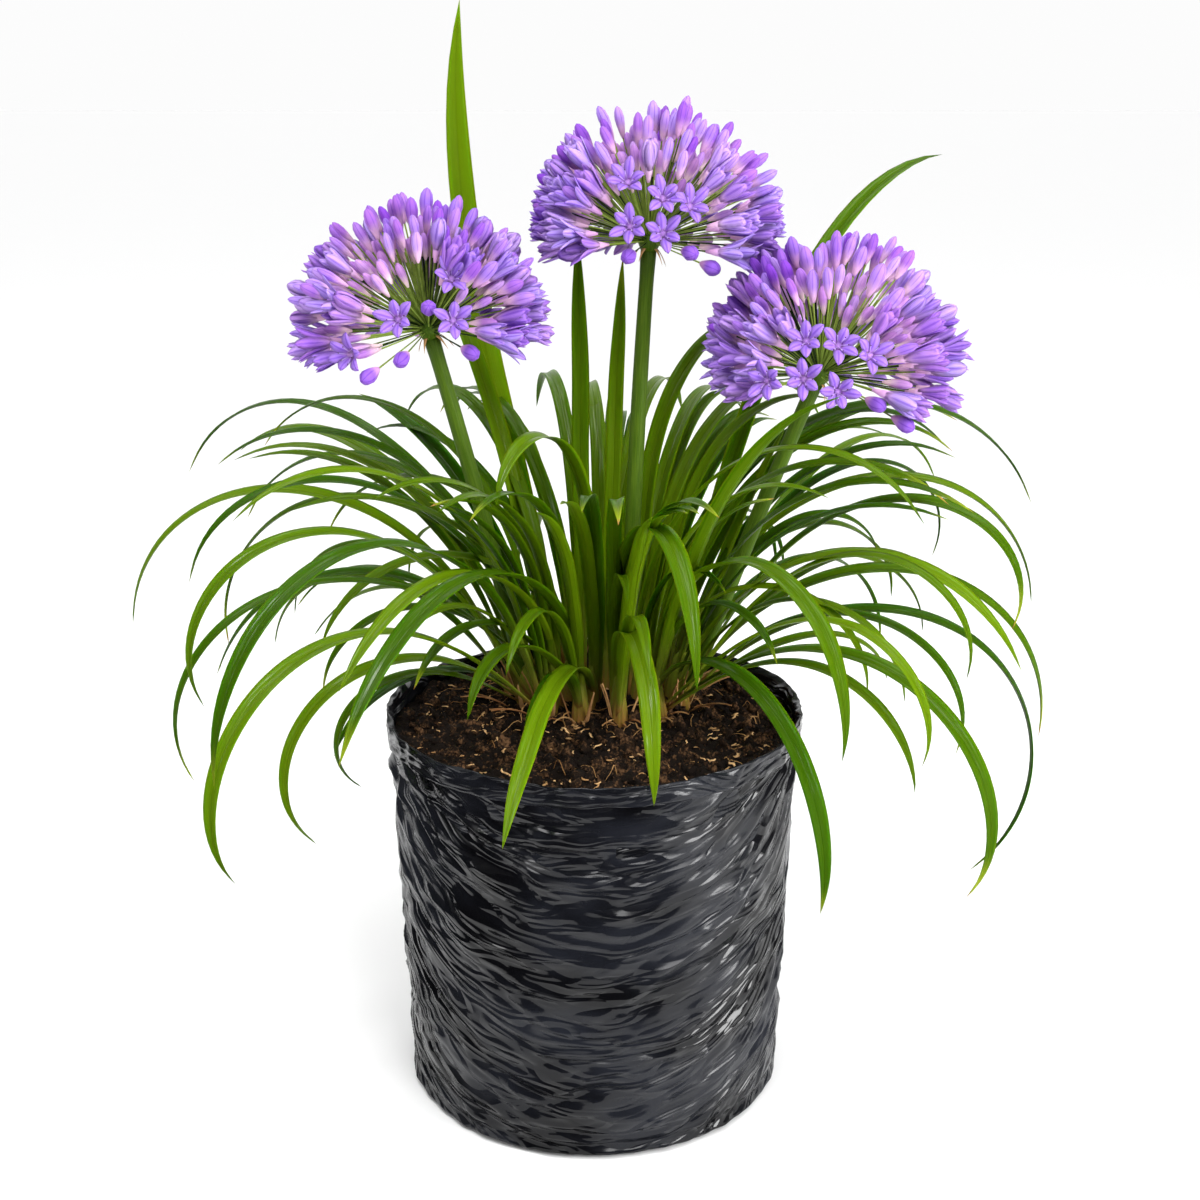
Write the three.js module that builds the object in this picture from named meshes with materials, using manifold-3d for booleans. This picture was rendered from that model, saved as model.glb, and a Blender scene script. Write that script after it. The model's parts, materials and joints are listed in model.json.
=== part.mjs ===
// Agapanthus in a black planter bag: a clump of arching strap leaves and three stalks, each with a round
// flower head. Millimetres, +Z up. The origin is the middle of the bag's flat underside, and -Y is the
// front.
import * as THREE from "three";
import { mergeVertices } from "three/addons/utils/BufferGeometryUtils.js";
import Module from "manifold-3d";

const wasm = await Module();
wasm.setup();

// ---- Driving sizes ----
const GAP = 0.3; // clearance between pieces that touch

const BAG = {
  height: 242,
  topRadius: 125,
  footRadius: 116.5,
  wall: 1.5,
  edge: 9, // rounding between underside and wall
  floor: 1.5,
  crumple: 1.3, // height of the folds in the wall
  cuff: 13, // depth of the band turned over at the rim
  cuffProud: 1.2,
  rimWave: 1.4,
  around: 32,
  rows: 6,
};

// The soil: rings are the circles where its top bends, as shares of its radius.
const SOIL = { top: 230, mound: 4, lump: 1.4, rings: [0.82, 0.5] };

const CLUMP = {
  x: 5,
  y: 38,
  halfWidth: 52,
  halfDepth: 35,
  inner: 0.45, // an inner crown's place, as a share of the way out to the outer one
  floor: 216, // where the crowns stand in the soil
  leafStart: 236,
  sheathTop: 268,
};

// The bundle of leaf bases at the foot of a crown, and the rhizome between a shoot's two crowns.
const SHEATH = { across: 6, innerAcross: 4.6, spare: 2.5, taper: 0.55, sides: 6, rhizome: 6, waist: 240 };

const LEAF = {
  channel: 0.1, // rise of the edges over the middle, as a share of the width
  keel: 0.8, // depth of the keel under the middle
  rootWidth: 0.45, // width at the root, as a share of the full width
  fullWidthAt: 0.32,
  taperFrom: 0.6,
  tipPower: 3,
  lean: 16, // degrees that a blade going straight to one side turns its upper face to the front
  twist: 14, // most degrees that a blade rolls over by its tip
  stack: 2.1, // distance between neighbouring roots of a crown, the flattest leaf outermost
  fan: 3.6, // how far to the side of the crown's middle the outermost roots stand
  degreesAStep: 30, // turn of the blade that takes one more ring of corners
  fewestSteps: 3,
  mostSteps: 7,
  substeps: 8, // points worked out along the blade for each ring
};

// The ranges that the younger leaves of a shoot are drawn from by rule: steep and short at the front of
// the clump, longer and more arching behind and at the sides.
const YOUNG = {
  frontFacings: [215, 325],
  front: { rise: [74, 91], length: [160, 250], turn: [50, 140] },
  elsewhere: { rise: [64, 88], length: [215, 330], turn: [80, 165] },
  lateness: 1.75,
  width: [7, 10],
};

// Each shoot: the way it faces round the clump (degrees from +X), the range its leaves spread over,
// whether it has an inner crown, and its leaves: heading, rise from the ground, length, turn down along
// the length, lateness of the turn, width, and 2 for a leaf of the inner crown.
const SHOOTS = [
  {
    facing: 12,
    spread: [3, 17],
    leaves: [
      [6, 75, 350, 160, 1.5, 11],
      [3, 60, 330, 155, 1.25, 12],
      [4, 46, 385, 185, 1.25, 12],
      [17, 50, 220, 105, 2, 8],
      [16, 68, 210, 150, 2.5, 8],
      [9, 30, 150, 110, 2.5, 8],
      [14, 71, 180, 8, 1.5, 12],
    ],
  },
  {
    facing: 31,
    spread: [18, 44],
    leaves: [
      [18, 90, 400, 155, 1.25, 10],
      [19, 88, 245, 105, 2.5, 11],
      [25, 74, 310, 105, 1.75, 10],
      [20, 65, 300, 180, 2.5, 8],
      [22, 70, 240, 160, 1.75, 10],
      [43, 45, 275, 130, 1.5, 8],
      [42, 50, 330, 110, 2.5, 8],
      [42, 70, 435, 65, 2.75, 13],
    ],
  },
  { facing: 57, spread: [46, 69], leaves: [[46, 90, 310, 145, 3, 12]] },
  { facing: 83, spread: [71, 95], innerCrown: true, leaves: [[80, 84, 272, 14, 1.5, 10, 2]] },
  {
    facing: 109,
    spread: [97, 121],
    leaves: [
      [98, 88, 285, 4, 1, 11],
      [120, 60, 455, -45, 3, 18],
    ],
  },
  {
    facing: 137,
    spread: [123, 151],
    innerCrown: true,
    leaves: [
      [150, 65, 390, 125, 1.75, 9],
      [144, 54, 330, 90, 2, 12],
      [148, 85, 290, 145, 1.25, 9, 2],
      [140, 70, 250, 60, 1.5, 12],
      [143, 48, 235, 100, 1, 8],
      [138, 32, 270, 80, 1.5, 7],
      [128, 76, 300, 30, 1.5, 12],
    ],
  },
  {
    facing: 167,
    spread: [154, 177],
    leaves: [
      [176, 70, 355, 155, 1.5, 11],
      [170, 86, 340, 184, 1.25, 9],
      [175, 75, 265, 145, 1, 10],
      [164, 53, 215, 135, 1.75, 8],
      [160, 83, 305, 146, 1.5, 9],
    ],
  },
  {
    facing: 207,
    spread: [198, 215],
    innerCrown: true,
    leaves: [
      [199, 64, 325, 140, 2.25, 10, 2],
      [215, 60, 340, 177, 2.25, 10],
      [206, 48, 350, 165, 2, 9, 2],
      [209, 44, 250, 178, 1.5, 11],
      [205, 34, 178, 178, 2, 9],
      [201, 52, 150, 120, 1, 9],
      [200, 88, 240, 160, 1.25, 9, 2],
      [203, 70, 190, 152, 1.5, 9],
    ],
  },
  {
    facing: 231,
    spread: [220, 242],
    leaves: [
      [232, 71, 378, 161, 1.5, 12],
      [228, 44, 350, 168, 2, 11],
      [224, 86, 155, 149, 1.25, 10],
      [238, 88, 275, 134, 1, 11],
    ],
  },
  {
    facing: 255,
    spread: [243, 267],
    innerCrown: true,
    leaves: [
      [243, 80, 336, 134, 1, 13, 2],
      [258, 82, 245, 120, 0.5, 13, 2],
      [245, 44, 180, 110, 2.75, 11, 2],
      [256, 70, 150, 130, 1, 11],
      [244, 94, 275, 164, 2.5, 12, 2],
    ],
  },
  {
    facing: 281,
    spread: [269, 293],
    leaves: [
      [278, 90, 220, 180, 1, 12],
      [284, 92, 295, 180, 1.5, 13],
    ],
  },
  {
    facing: 307,
    spread: [295, 319],
    leaves: [
      [301, 78, 310, 178, 1.5, 13],
      [304, 78, 262, 178, 0.8, 12],
      [316, 40, 225, 122, 2, 9],
      [319, 42, 330, 164, 1.75, 11],
      [312, 44, 275, 154, 2.75, 8],
      [298, 70, 300, 50, 1.75, 12],
    ],
  },
  {
    facing: 332,
    spread: [322, 338],
    innerCrown: true,
    leaves: [
      [338, 63, 320, 174, 2.5, 10],
      [327, 68, 295, 130, 1.5, 12],
      [324, 58, 280, 160, 2.5, 9],
      [335, 54, 250, 160, 1.75, 8],
    ],
  },
];
// Younger leaves fill each shoot up to the first number, and every shoot gets at least the second.
const LEAVES_A_SHOOT = 7;
const LEAST_YOUNG = 1;

// Each stalk: where it stands, the hub of its head, the head's radius, how far the middle of the head lies
// from the hub, and the florets at the front of the head that stand by themselves: degrees to the right,
// degrees up, share of the reach, and 1 for an open flower or 0 for a bud.
const STALKS = [
  {
    foot: [-37, 34],
    hub: [-97, 27, 467],
    radius: 83,
    shift: [-5, 0, -1],
    front: [
      [-19, 5, 0.78, 1],
      [16, 6, 0.78, 1],
      [10, 32, 0.86, 1],
      [-2, 12, 0.66, 0],
      [-42, -38, 0.62, 0],
      [40, -32, 0.6, 0],
      [-66, -34, 0.78, 0],
    ],
  },
  {
    foot: [21, 44],
    hub: [33, 58, 515],
    radius: 80,
    shift: [4, 0, 6],
    front: [
      [-13, 8, 0.78, 1],
      [12, 30, 0.86, 1],
      [26, 16, 0.8, 1],
      [6, 3, 0.7, 0],
      [-16, 38, 0.86, 1],
      [48, -28, 0.72, 0],
      [-38, -18, 0.66, 0],
    ],
  },
  {
    foot: [52, 33],
    hub: [132, 17, 442],
    radius: 80,
    shift: [9, 0, 7],
    front: [
      [-16, 24, 0.8, 1],
      [7, 20, 0.78, 1],
      [28, 10, 0.82, 1],
      [-22, -5, 0.78, 1],
      [8, -16, 0.7, 1],
      [50, -20, 0.74, 0],
      [74, -20, 0.86, 0],
    ],
  },
];
const STALK = { footRadius: 5.4, topRadius: 4.6, sides: 10, holeSides: 8, bow: 4, steps: 4 };

// The hub at the top of a stalk, where the pedicels meet: its outline is in shares of its radius.
const HUB = {
  radius: 7,
  sides: 8,
  rings: [
    { height: -0.8, width: 0.7 },
    { height: -0.2, width: 1 },
    { height: 0.5, width: 0.8 },
  ],
  top: 0.9,
  root: 0.45, // how deep the pedicels start
};

const HEAD = {
  florets: 47,
  widest: 92, // degrees from the head's axis to its lowest florets
  droopFrom: 66, // degrees from the axis where the florets start to hang
  droop: 6, // how far the lowest florets hang
  lowReach: 0.95, // reach of the lowest florets, as a share of the head's
  leastReach: 0.92, // reach of the shortest floret, as a share of the head's
  window: 30, // half the angle of the sparse patch at the front, where the pedicels show
  upright: 0.7, // how far the axis is turned from the stalk's own lean to straight up
  openFrom: 52, // two of three florets further than this many degrees from the axis are open
};

// A floret: a closed bud or an open flower at the end of a thin pedicel. Heights are shares of its length.
const FLORET = {
  length: 33,
  tepals: 6,
  pedicelRadius: 0.9,
  pedicelSides: 3,
  nod: 0.6, // how far a hanging floret turns down past the line of its pedicel
  bud: { radius: 6, shoulder: 0.4, shoulderWidth: 0.85, fullest: 0.72 },
  mouth: { radius: 11.5, least: 0.75 }, // an open flower's mouth, and the smallest as a share of it
  flower: { throat: 0.42, heart: 0.5, notch: 0.66, notchWidth: 0.52, tip: 0.97 },
};

// ---- Small tools ----
const rad = THREE.MathUtils.degToRad;
const lerp = THREE.MathUtils.lerp;
const UP = new THREE.Vector3(0, 0, 1);
const FRONT = new THREE.Vector3(0, -0.94, 0.34);
const smooth = (x) => THREE.MathUtils.smoothstep(x, 0, 1);
// An evenly spread share of 1 for item n of a row; another salt gives another row.
const even = (n, salt) => (n * 0.618034 + salt * 0.754878) % 1;

function solidOf(geometry) {
  const bare = geometry.index ? geometry.toNonIndexed() : geometry.clone();
  bare.deleteAttribute("normal");
  bare.deleteAttribute("uv");
  const merged = mergeVertices(bare, 1e-4);
  const vertProperties = new Float32Array(merged.attributes.position.array);
  const triVerts = new Uint32Array(merged.index.array);
  return new wasm.Manifold(new wasm.Mesh({ numProp: 3, vertProperties, triVerts }));
}

function geometryOf(solid) {
  const mesh = solid.getMesh();
  const geometry = new THREE.BufferGeometry();
  geometry.setAttribute("position", new THREE.BufferAttribute(mesh.vertProperties, 3));
  geometry.setIndex(new THREE.BufferAttribute(mesh.triVerts, 1));
  geometry.computeVertexNormals();
  return geometry;
}

const unite = (solids) => solids.reduce((whole, solid) => whole.add(solid));

// A closed skin from corner points and triangles, turned so that its faces point out.
function skin(points, triangles) {
  let volume = 0;
  for (const [a, b, c] of triangles) {
    volume += points[a].dot(new THREE.Vector3().crossVectors(points[b], points[c]));
  }
  const index = triangles.flatMap(([a, b, c]) => (volume < 0 ? [a, c, b] : [a, b, c]));
  const geometry = new THREE.BufferGeometry().setFromPoints(points);
  geometry.setIndex(index);
  return solidOf(geometry);
}

// Triangles between two rings of a loft. The second ring has as many points as the first, twice as many,
// or one.
function band(first, count, second, nextCount) {
  const triangles = [];
  for (let i = 0; i < count; i++) {
    const a = first + i;
    const b = first + ((i + 1) % count);
    if (nextCount === 1) {
      triangles.push([a, b, second]);
    } else if (nextCount === count) {
      const c = second + i;
      const d = second + ((i + 1) % count);
      triangles.push([a, b, d], [a, d, c]);
    } else {
      const c = second + 2 * i;
      const d = c + 1;
      const e = second + ((2 * i + 2) % nextCount);
      triangles.push([a, d, c], [a, b, d], [b, e, d]);
    }
  }
  return triangles;
}

// A solid over a row of rings, closed at its first ring by a flat end and at its last by a flat end or a
// tip.
function loft(rings) {
  const points = rings.flat();
  const triangles = [];
  for (let i = 2; i < rings[0].length; i++) triangles.push([0, i, i - 1]);
  let first = 0;
  rings.slice(1).forEach((ring, n) => {
    const count = rings[n].length;
    triangles.push(...band(first, count, first + count, ring.length));
    first += count;
  });
  for (let i = 2; i < rings.at(-1).length; i++) triangles.push([first, first + i - 1, first + i]);
  return skin(points, triangles);
}

// A ring of points round a centre, in the plane of the unit vectors u and v.
function ring(centre, u, v, radius, count, phase = 0) {
  return Array.from({ length: count }, (_, i) => {
    const angle = phase + (2 * Math.PI * i) / count;
    const out = u.clone().multiplyScalar(Math.cos(angle) * radius);
    return out.addScaledVector(v, Math.sin(angle) * radius).add(centre);
  });
}

// ---- Planter bag ----
const bagRadius = (z) => lerp(BAG.footRadius, BAG.topRadius, z / BAG.height);
const cuffFoot = BAG.height - BAG.cuff;

// How far the crumpled wall stands in or out at an angle and a height.
function crumple(angle, z) {
  const folds =
    0.45 * Math.sin(3 * angle + 0.05 * z) +
    0.35 * Math.sin(8 * angle - 0.07 * z + 1.3) +
    0.35 * Math.sin(13 * angle + 0.12 * z + 2.1);
  return BAG.crumple * folds * smooth((z - BAG.edge) / 25) * smooth((cuffFoot - z) / 15);
}

// Revolves a profile of [radius, height] pairs about +Z and moves each point by shape(angle, radius,
// height).
function revolve(profile, shape) {
  const points = profile.map(([radius, z]) => new THREE.Vector2(radius, z));
  const geometry = new THREE.LatheGeometry(points, BAG.around).rotateX(Math.PI / 2);
  const position = geometry.attributes.position;
  for (let i = 0; i < position.count; i++) {
    const [x, y, z] = [position.getX(i), position.getY(i), position.getZ(i)];
    const angle = Math.atan2(y, x);
    const moved = shape(angle, Math.hypot(x, y), z);
    position.setXYZ(i, Math.cos(angle) * moved.radius, Math.sin(angle) * moved.radius, moved.z);
  }
  return solidOf(geometry);
}

const innerRadius = (z) => bagRadius(z) - BAG.wall - BAG.crumple * (z < cuffFoot ? 1 : 0.4);
const INNER_EDGE = BAG.edge + 2;
const innerFloorRadius = innerRadius(INNER_EDGE) - BAG.edge;

function planterBag() {
  const outside = [[0, 0]];
  for (let i = 0; i <= 3; i++) {
    const turn = (Math.PI / 2) * (i / 3);
    outside.push([BAG.footRadius - BAG.edge * (1 - Math.sin(turn)), BAG.edge * (1 - Math.cos(turn))]);
  }
  const wallHeight = cuffFoot - BAG.edge;
  for (let i = 1; i <= BAG.rows; i++) {
    const z = BAG.edge + (wallHeight * i) / BAG.rows;
    outside.push([bagRadius(z), z]);
  }
  const rim = BAG.topRadius + BAG.cuffProud;
  const mouth = BAG.topRadius - BAG.wall;
  const rimProfile = [
    [rim, cuffFoot + 1.5],
    [rim, BAG.height - 1.5],
    [BAG.topRadius, BAG.height],
    [mouth, BAG.height - 1.2],
  ];
  const inside = [
    [innerRadius(SOIL.top), SOIL.top],
    [innerRadius(INNER_EDGE), INNER_EDGE],
    [innerFloorRadius, BAG.floor],
    [0, BAG.floor],
  ];
  return revolve([...outside, ...rimProfile, ...inside], (angle, radius, z) => {
    const outer = radius > bagRadius(z) - 0.5 * BAG.wall && z > BAG.edge;
    const wave = smooth((z - cuffFoot) / BAG.cuff) * BAG.rimWave;
    const rise = wave * (0.6 * Math.sin(2 * angle + 0.7) + 0.4 * Math.sin(5 * angle));
    return { radius: radius + (outer ? crumple(angle, z) : 0), z: z + rise };
  });
}

// ---- Leaf shoots ----
// The place on the clump's oval that faces an angle, at a share of the way out from its middle.
function clumpPoint(degrees, share) {
  const angle = rad(degrees);
  const x = CLUMP.x + share * CLUMP.halfWidth * Math.cos(angle);
  const y = CLUMP.y + share * CLUMP.halfDepth * Math.sin(angle);
  return new THREE.Vector3(x, y, CLUMP.leafStart);
}

// A younger leaf, drawn by rule from the ranges of its side of the clump.
function youngLeaf(shoot, n) {
  const [first, last] = YOUNG.frontFacings;
  const ranges = shoot.facing > first && shoot.facing < last ? YOUNG.front : YOUNG.elsewhere;
  const draw = ([low, high], salt) => low + (high - low) * even(n + 1, shoot.facing + salt);
  const heading = draw(shoot.spread, 0);
  const rise = draw(ranges.rise, 5);
  const length = draw(ranges.length, 9);
  const turn = draw(ranges.turn, 14);
  const width = draw(YOUNG.width, 21);
  const crown = shoot.innerCrown && n % 2 ? 2 : 1;
  return [heading, rise, length, turn, YOUNG.lateness, width, crown];
}

function leavesOf(shoot) {
  const young = Math.max(LEAST_YOUNG, LEAVES_A_SHOOT - shoot.leaves.length);
  return [...shoot.leaves, ...Array.from({ length: young }, (_, n) => youngLeaf(shoot, n))];
}

const crownLeaves = (leaves, crown) => leaves.filter((leaf) => (leaf[6] ?? 1) === crown);

// Half the depth of a crown, from the number of roots stacked in it.
function crownDepth(shoot, crown) {
  const roots = crownLeaves(leavesOf(shoot), crown).length;
  return (LEAF.stack * roots) / 2 + SHEATH.spare;
}

// How far out of the crown's middle a leaf's root stands: the leaves of one crown are stacked by their
// rise.
function rootPlace(leaf, leaves) {
  const crown = crownLeaves(leaves, leaf[6] ?? 1).sort((a, b) => b[1] - a[1]);
  return LEAF.stack * (crown.indexOf(leaf) - (crown.length - 1) / 2);
}

function leafWidth(width, share) {
  const root = lerp(LEAF.rootWidth, 1, smooth(share / LEAF.fullWidthAt));
  const taper = Math.max(0, (share - LEAF.taperFrom) / (1 - LEAF.taperFrom));
  return width * root * (1 - taper ** LEAF.tipPower);
}

// One strap leaf: a keeled blade along an arching line that stays in the upright plane of its heading.
function leafSolid(shoot, leaf, n, leaves) {
  const [heading, rise, length, turn, lateness, width, crown = 1] = leaf;
  const angle = rad(heading);
  const outward = new THREE.Vector3(Math.cos(angle), Math.sin(angle), 0);
  const across = new THREE.Vector3(-Math.sin(angle), Math.cos(angle), 0);
  const at = clumpPoint(shoot.facing, crown === 2 ? CLUMP.inner : 1);
  const [low, high] = shoot.spread;
  at.addScaledVector(outward, rootPlace(leaf, leaves));
  at.addScaledVector(across, (LEAF.fan * (2 * heading - low - high)) / (high - low));
  const bends = Math.round(Math.abs(turn) / LEAF.degreesAStep) + 1;
  const steps = THREE.MathUtils.clamp(bends, LEAF.fewestSteps, LEAF.mostSteps);
  const points = steps * LEAF.substeps;
  const roll = rad(LEAF.twist) * (2 * even(n, shoot.facing + 3) - 1);
  const lean = rad(LEAF.lean) * outward.x;
  const rings = [];
  for (let i = 0; i <= points; i++) {
    const share = i / points;
    const slope = rad(rise - turn * share ** lateness);
    const along = outward.clone().multiplyScalar(Math.cos(slope)).addScaledVector(UP, Math.sin(slope));
    if (i > 0) at.addScaledVector(along, length / points);
    if (i % LEAF.substeps) continue;
    if (i === points) {
      rings.push([at.clone()]);
      continue;
    }
    const side = across.clone().applyAxisAngle(along, lean * smooth(2 * share) + roll * share * share);
    const face = new THREE.Vector3().crossVectors(along, side);
    const half = leafWidth(width, share) / 2;
    const edge = at.clone().addScaledVector(face, 2 * half * LEAF.channel);
    rings.push([
      edge.clone().addScaledVector(side, half),
      edge.clone().addScaledVector(side, -half),
      at.clone().addScaledVector(face, -LEAF.keel),
    ]);
  }
  return loft(rings);
}

// An upright oval post from z0 to z1 that faces an angle; taper is its top's size as a share of its
// foot's.
function post(place, degrees, along, across, z0, z1, taper = 1) {
  const geometry = new THREE.CylinderGeometry(taper, 1, z1 - z0, SHEATH.sides).rotateX(Math.PI / 2);
  geometry.scale(along, across, 1).rotateZ(rad(degrees));
  return solidOf(geometry.translate(place.x, place.y, (z0 + z1) / 2));
}

// The straight foot of a shoot in the soil, made larger by a margin for its hole.
function shootFoot(shoot, margin, z0, z1) {
  const outer = clumpPoint(shoot.facing, 1);
  const feet = [post(outer, shoot.facing, crownDepth(shoot, 1) + margin, SHEATH.across + margin, z0, z1)];
  if (shoot.innerCrown) {
    const inner = clumpPoint(shoot.facing, CLUMP.inner);
    const depth = crownDepth(shoot, 2) + margin;
    const run = new THREE.Vector3().subVectors(outer, inner);
    const middle = outer.clone().add(inner).multiplyScalar(0.5);
    const rhizome = new THREE.BoxGeometry(run.length(), SHEATH.rhizome + 2 * margin, z1 - z0);
    rhizome.rotateZ(Math.atan2(run.y, run.x)).translate(middle.x, middle.y, (z0 + z1) / 2);
    feet.push(solidOf(rhizome));
    feet.push(post(inner, shoot.facing, depth, SHEATH.innerAcross + margin, z0, z1));
  }
  return unite(feet);
}

function leafShoot(shoot) {
  const pieces = [shootFoot(shoot, 0, CLUMP.floor, SHEATH.waist)];
  const heights = [SHEATH.waist, CLUMP.sheathTop, SHEATH.taper];
  const outer = clumpPoint(shoot.facing, 1);
  pieces.push(post(outer, shoot.facing, crownDepth(shoot, 1), SHEATH.across, ...heights));
  if (shoot.innerCrown) {
    const inner = clumpPoint(shoot.facing, CLUMP.inner);
    pieces.push(post(inner, shoot.facing, crownDepth(shoot, 2), SHEATH.innerAcross, ...heights));
  }
  const leaves = leavesOf(shoot);
  leaves.forEach((leaf, n) => pieces.push(leafSolid(shoot, leaf, n, leaves)));
  return unite(pieces);
}

// ---- Flower stalks and heads ----
// The stalk's middle line, from the floor of its hole to just under the hub, bowed a little outwards.
function stalkLine(stalk) {
  const foot = new THREE.Vector3(...stalk.foot, CLUMP.floor);
  const hub = new THREE.Vector3(...stalk.hub);
  const middle = foot.clone().lerp(hub, 0.5);
  middle.x += STALK.bow * Math.sign(foot.x - hub.x);
  return new THREE.QuadraticBezierCurve3(foot, middle, hub);
}

function stalkSolid(stalk) {
  const line = stalkLine(stalk);
  const hubFoot = -HUB.rings[0].height * HUB.radius;
  const end = 1 - (hubFoot + GAP) / line.getLength();
  const rings = [];
  for (let i = 0; i <= STALK.steps; i++) {
    const share = i / STALK.steps;
    const centre = line.getPoint(share * end);
    const along = line.getTangent(share * end);
    const u = new THREE.Vector3(0, 1, 0).cross(along).normalize();
    const v = new THREE.Vector3().crossVectors(along, u);
    const radius = lerp(STALK.footRadius, STALK.topRadius, share);
    rings.push(ring(centre, u, v, radius, STALK.sides));
  }
  return loft(rings);
}

// Frames a direction with two unit vectors square to it.
function frameOf(direction) {
  const u = new THREE.Vector3(0, 1, 0.01).cross(direction).normalize();
  return [u, new THREE.Vector3().crossVectors(direction, u)];
}

// The hub: a low dome, flat below where it sits on the stalk.
function hubSolid(hub, lean) {
  const [u, v] = frameOf(lean);
  const { radius, sides, rings, top } = HUB;
  const level = (height) => hub.clone().addScaledVector(lean, height * radius);
  const levels = rings.map(({ height, width }) => ring(level(height), u, v, width * radius, sides));
  return loft([...levels, [level(top)]]);
}

// One floret on its pedicel: a closed bud, or a funnel of six pointed tepals that opens to the given
// mouth radius.
function floretSolid(hub, direction, reach, droop, open, turn) {
  const { length, tepals, pedicelRadius, pedicelSides, bud, flower } = FLORET;
  const base = hub.clone().addScaledVector(direction, reach - length);
  base.z -= droop;
  const way = base.clone().sub(hub).normalize();
  const axis = way.clone().lerp(direction, -FLORET.nod).normalize();
  const [u, v] = frameOf(axis);
  const level = (height) => base.clone().addScaledVector(axis, height * length);
  const around = (height, radius, phase = 0) => ring(level(height), u, v, radius, tepals, turn + phase);
  const root = hub.clone().addScaledVector(way, HUB.root * HUB.radius);
  const pedicel = [root, base].map((end) => ring(end, u, v, pedicelRadius, pedicelSides, turn));
  if (!open) {
    const shoulder = around(bud.shoulder, bud.shoulderWidth * bud.radius);
    return loft([...pedicel, shoulder, around(bud.fullest, bud.radius), [level(1)]]);
  }
  const throat = around(flower.throat, 0.45 * open + 1);
  const notches = around(flower.notch, flower.notchWidth * open, Math.PI / tepals);
  const mouth = around(flower.tip, open).flatMap((tip, i) => [tip, notches[i]]);
  return loft([...pedicel, throat, mouth, [level(flower.heart)]]);
}

function headSolid(stalk, number) {
  const hub = new THREE.Vector3(...stalk.hub);
  const lean = stalkLine(stalk).getTangent(1);
  const axis = lean.clone().lerp(UP, HEAD.upright).normalize();
  const [u, v] = frameOf(axis);
  const pieces = [hubSolid(hub, lean)];
  const cap = 1 - Math.cos(rad(HEAD.widest));
  const { mouth } = FLORET;
  const shift = new THREE.Vector3(...stalk.shift);
  const reach = (direction) => stalk.radius + direction.dot(shift);
  for (let i = 0; i < HEAD.florets; i++) {
    const away = Math.acos(1 - (cap * (i + 0.5)) / HEAD.florets);
    const angle = i * Math.PI * (3 - Math.sqrt(5)) + number;
    const out = u.clone().multiplyScalar(Math.cos(angle)).addScaledVector(v, Math.sin(angle));
    const direction = axis.clone().multiplyScalar(Math.cos(away)).addScaledVector(out, Math.sin(away));
    if (direction.angleTo(FRONT) < rad(HEAD.window)) continue;
    const degrees = THREE.MathUtils.radToDeg(away);
    const low = smooth((degrees - HEAD.droopFrom) / (HEAD.widest + 2 - HEAD.droopFrom));
    const share = lerp(HEAD.leastReach, 1, even(i, 7)) * lerp(1, HEAD.lowReach, low);
    const isOpen = degrees > HEAD.openFrom && i % 3 !== 1;
    const open = isOpen ? mouth.radius * lerp(mouth.least, 1, even(i, 4)) : 0;
    pieces.push(floretSolid(hub, direction, share * reach(direction), HEAD.droop * low, open, i));
  }
  stalk.front.forEach(([right, up, share, isOpen], i) => {
    const [yaw, pitch] = [rad(right), rad(up)];
    const level = Math.cos(pitch);
    const direction = new THREE.Vector3(Math.sin(yaw) * level, -Math.cos(yaw) * level, Math.sin(pitch));
    pieces.push(floretSolid(hub, direction, share * reach(direction), 0, isOpen * mouth.radius, i));
  });
  return unite(pieces);
}

// ---- Soil ----
function soilSolid() {
  const top = SOIL.top;
  const edgeRadius = innerRadius(top) - GAP;
  const profile = [
    [0, BAG.floor + GAP],
    [innerFloorRadius - GAP, BAG.floor + GAP],
    [innerRadius(INNER_EDGE) - GAP, INNER_EDGE + GAP],
    [edgeRadius, top],
    ...SOIL.rings.map((share) => [share * edgeRadius, top]),
    [0, top],
  ];
  let soil = revolve(profile, (angle, radius, z) => {
    if (z < top || radius > edgeRadius - 1) return { radius, z };
    const x = radius * Math.cos(angle);
    const y = radius * Math.sin(angle);
    const lumps = Math.sin(0.11 * x + 1) * Math.sin(0.13 * y) + 0.6 * Math.sin(0.23 * x - 0.19 * y);
    const away = Math.hypot((x - CLUMP.x) / 2, y - CLUMP.y) / edgeRadius;
    return { radius, z: top + SOIL.lump * lumps + SOIL.mound * smooth(1 - 1.4 * away) };
  });
  const above = top + SOIL.mound + 10;
  for (const shoot of SHOOTS) soil = soil.subtract(shootFoot(shoot, GAP, CLUMP.floor - GAP, above));
  for (const stalk of STALKS) {
    const line = stalkLine(stalk);
    const lean = line.getTangent(0);
    const foot = line.getPoint(0).addScaledVector(lean, -GAP);
    const mouth = foot.clone().addScaledVector(lean, above - CLUMP.floor);
    const [u, v] = frameOf(lean);
    const hole = STALK.footRadius + 2 * GAP;
    soil = soil.subtract(loft([foot, mouth].map((end) => ring(end, u, v, hole, STALK.holeSides))));
  }
  return soil;
}

// ---- Assembly ----
function finish(color, roughness, metalness = 0) {
  return new THREE.MeshStandardMaterial({ color, roughness, metalness });
}
const polythene = finish(0x2c2c31, 0.35);
const compost = finish(0x33241a, 0.95);
const foliage = finish(0x4f8a22, 0.5);
const stalkGreen = finish(0x5c8a35, 0.5);
const violet = finish(0x8a6ad6, 0.6);

const agapanthus = new THREE.Group();
function place(name, solid, material) {
  const mesh = new THREE.Mesh(geometryOf(solid), material);
  mesh.name = name;
  agapanthus.add(mesh);
}

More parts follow.
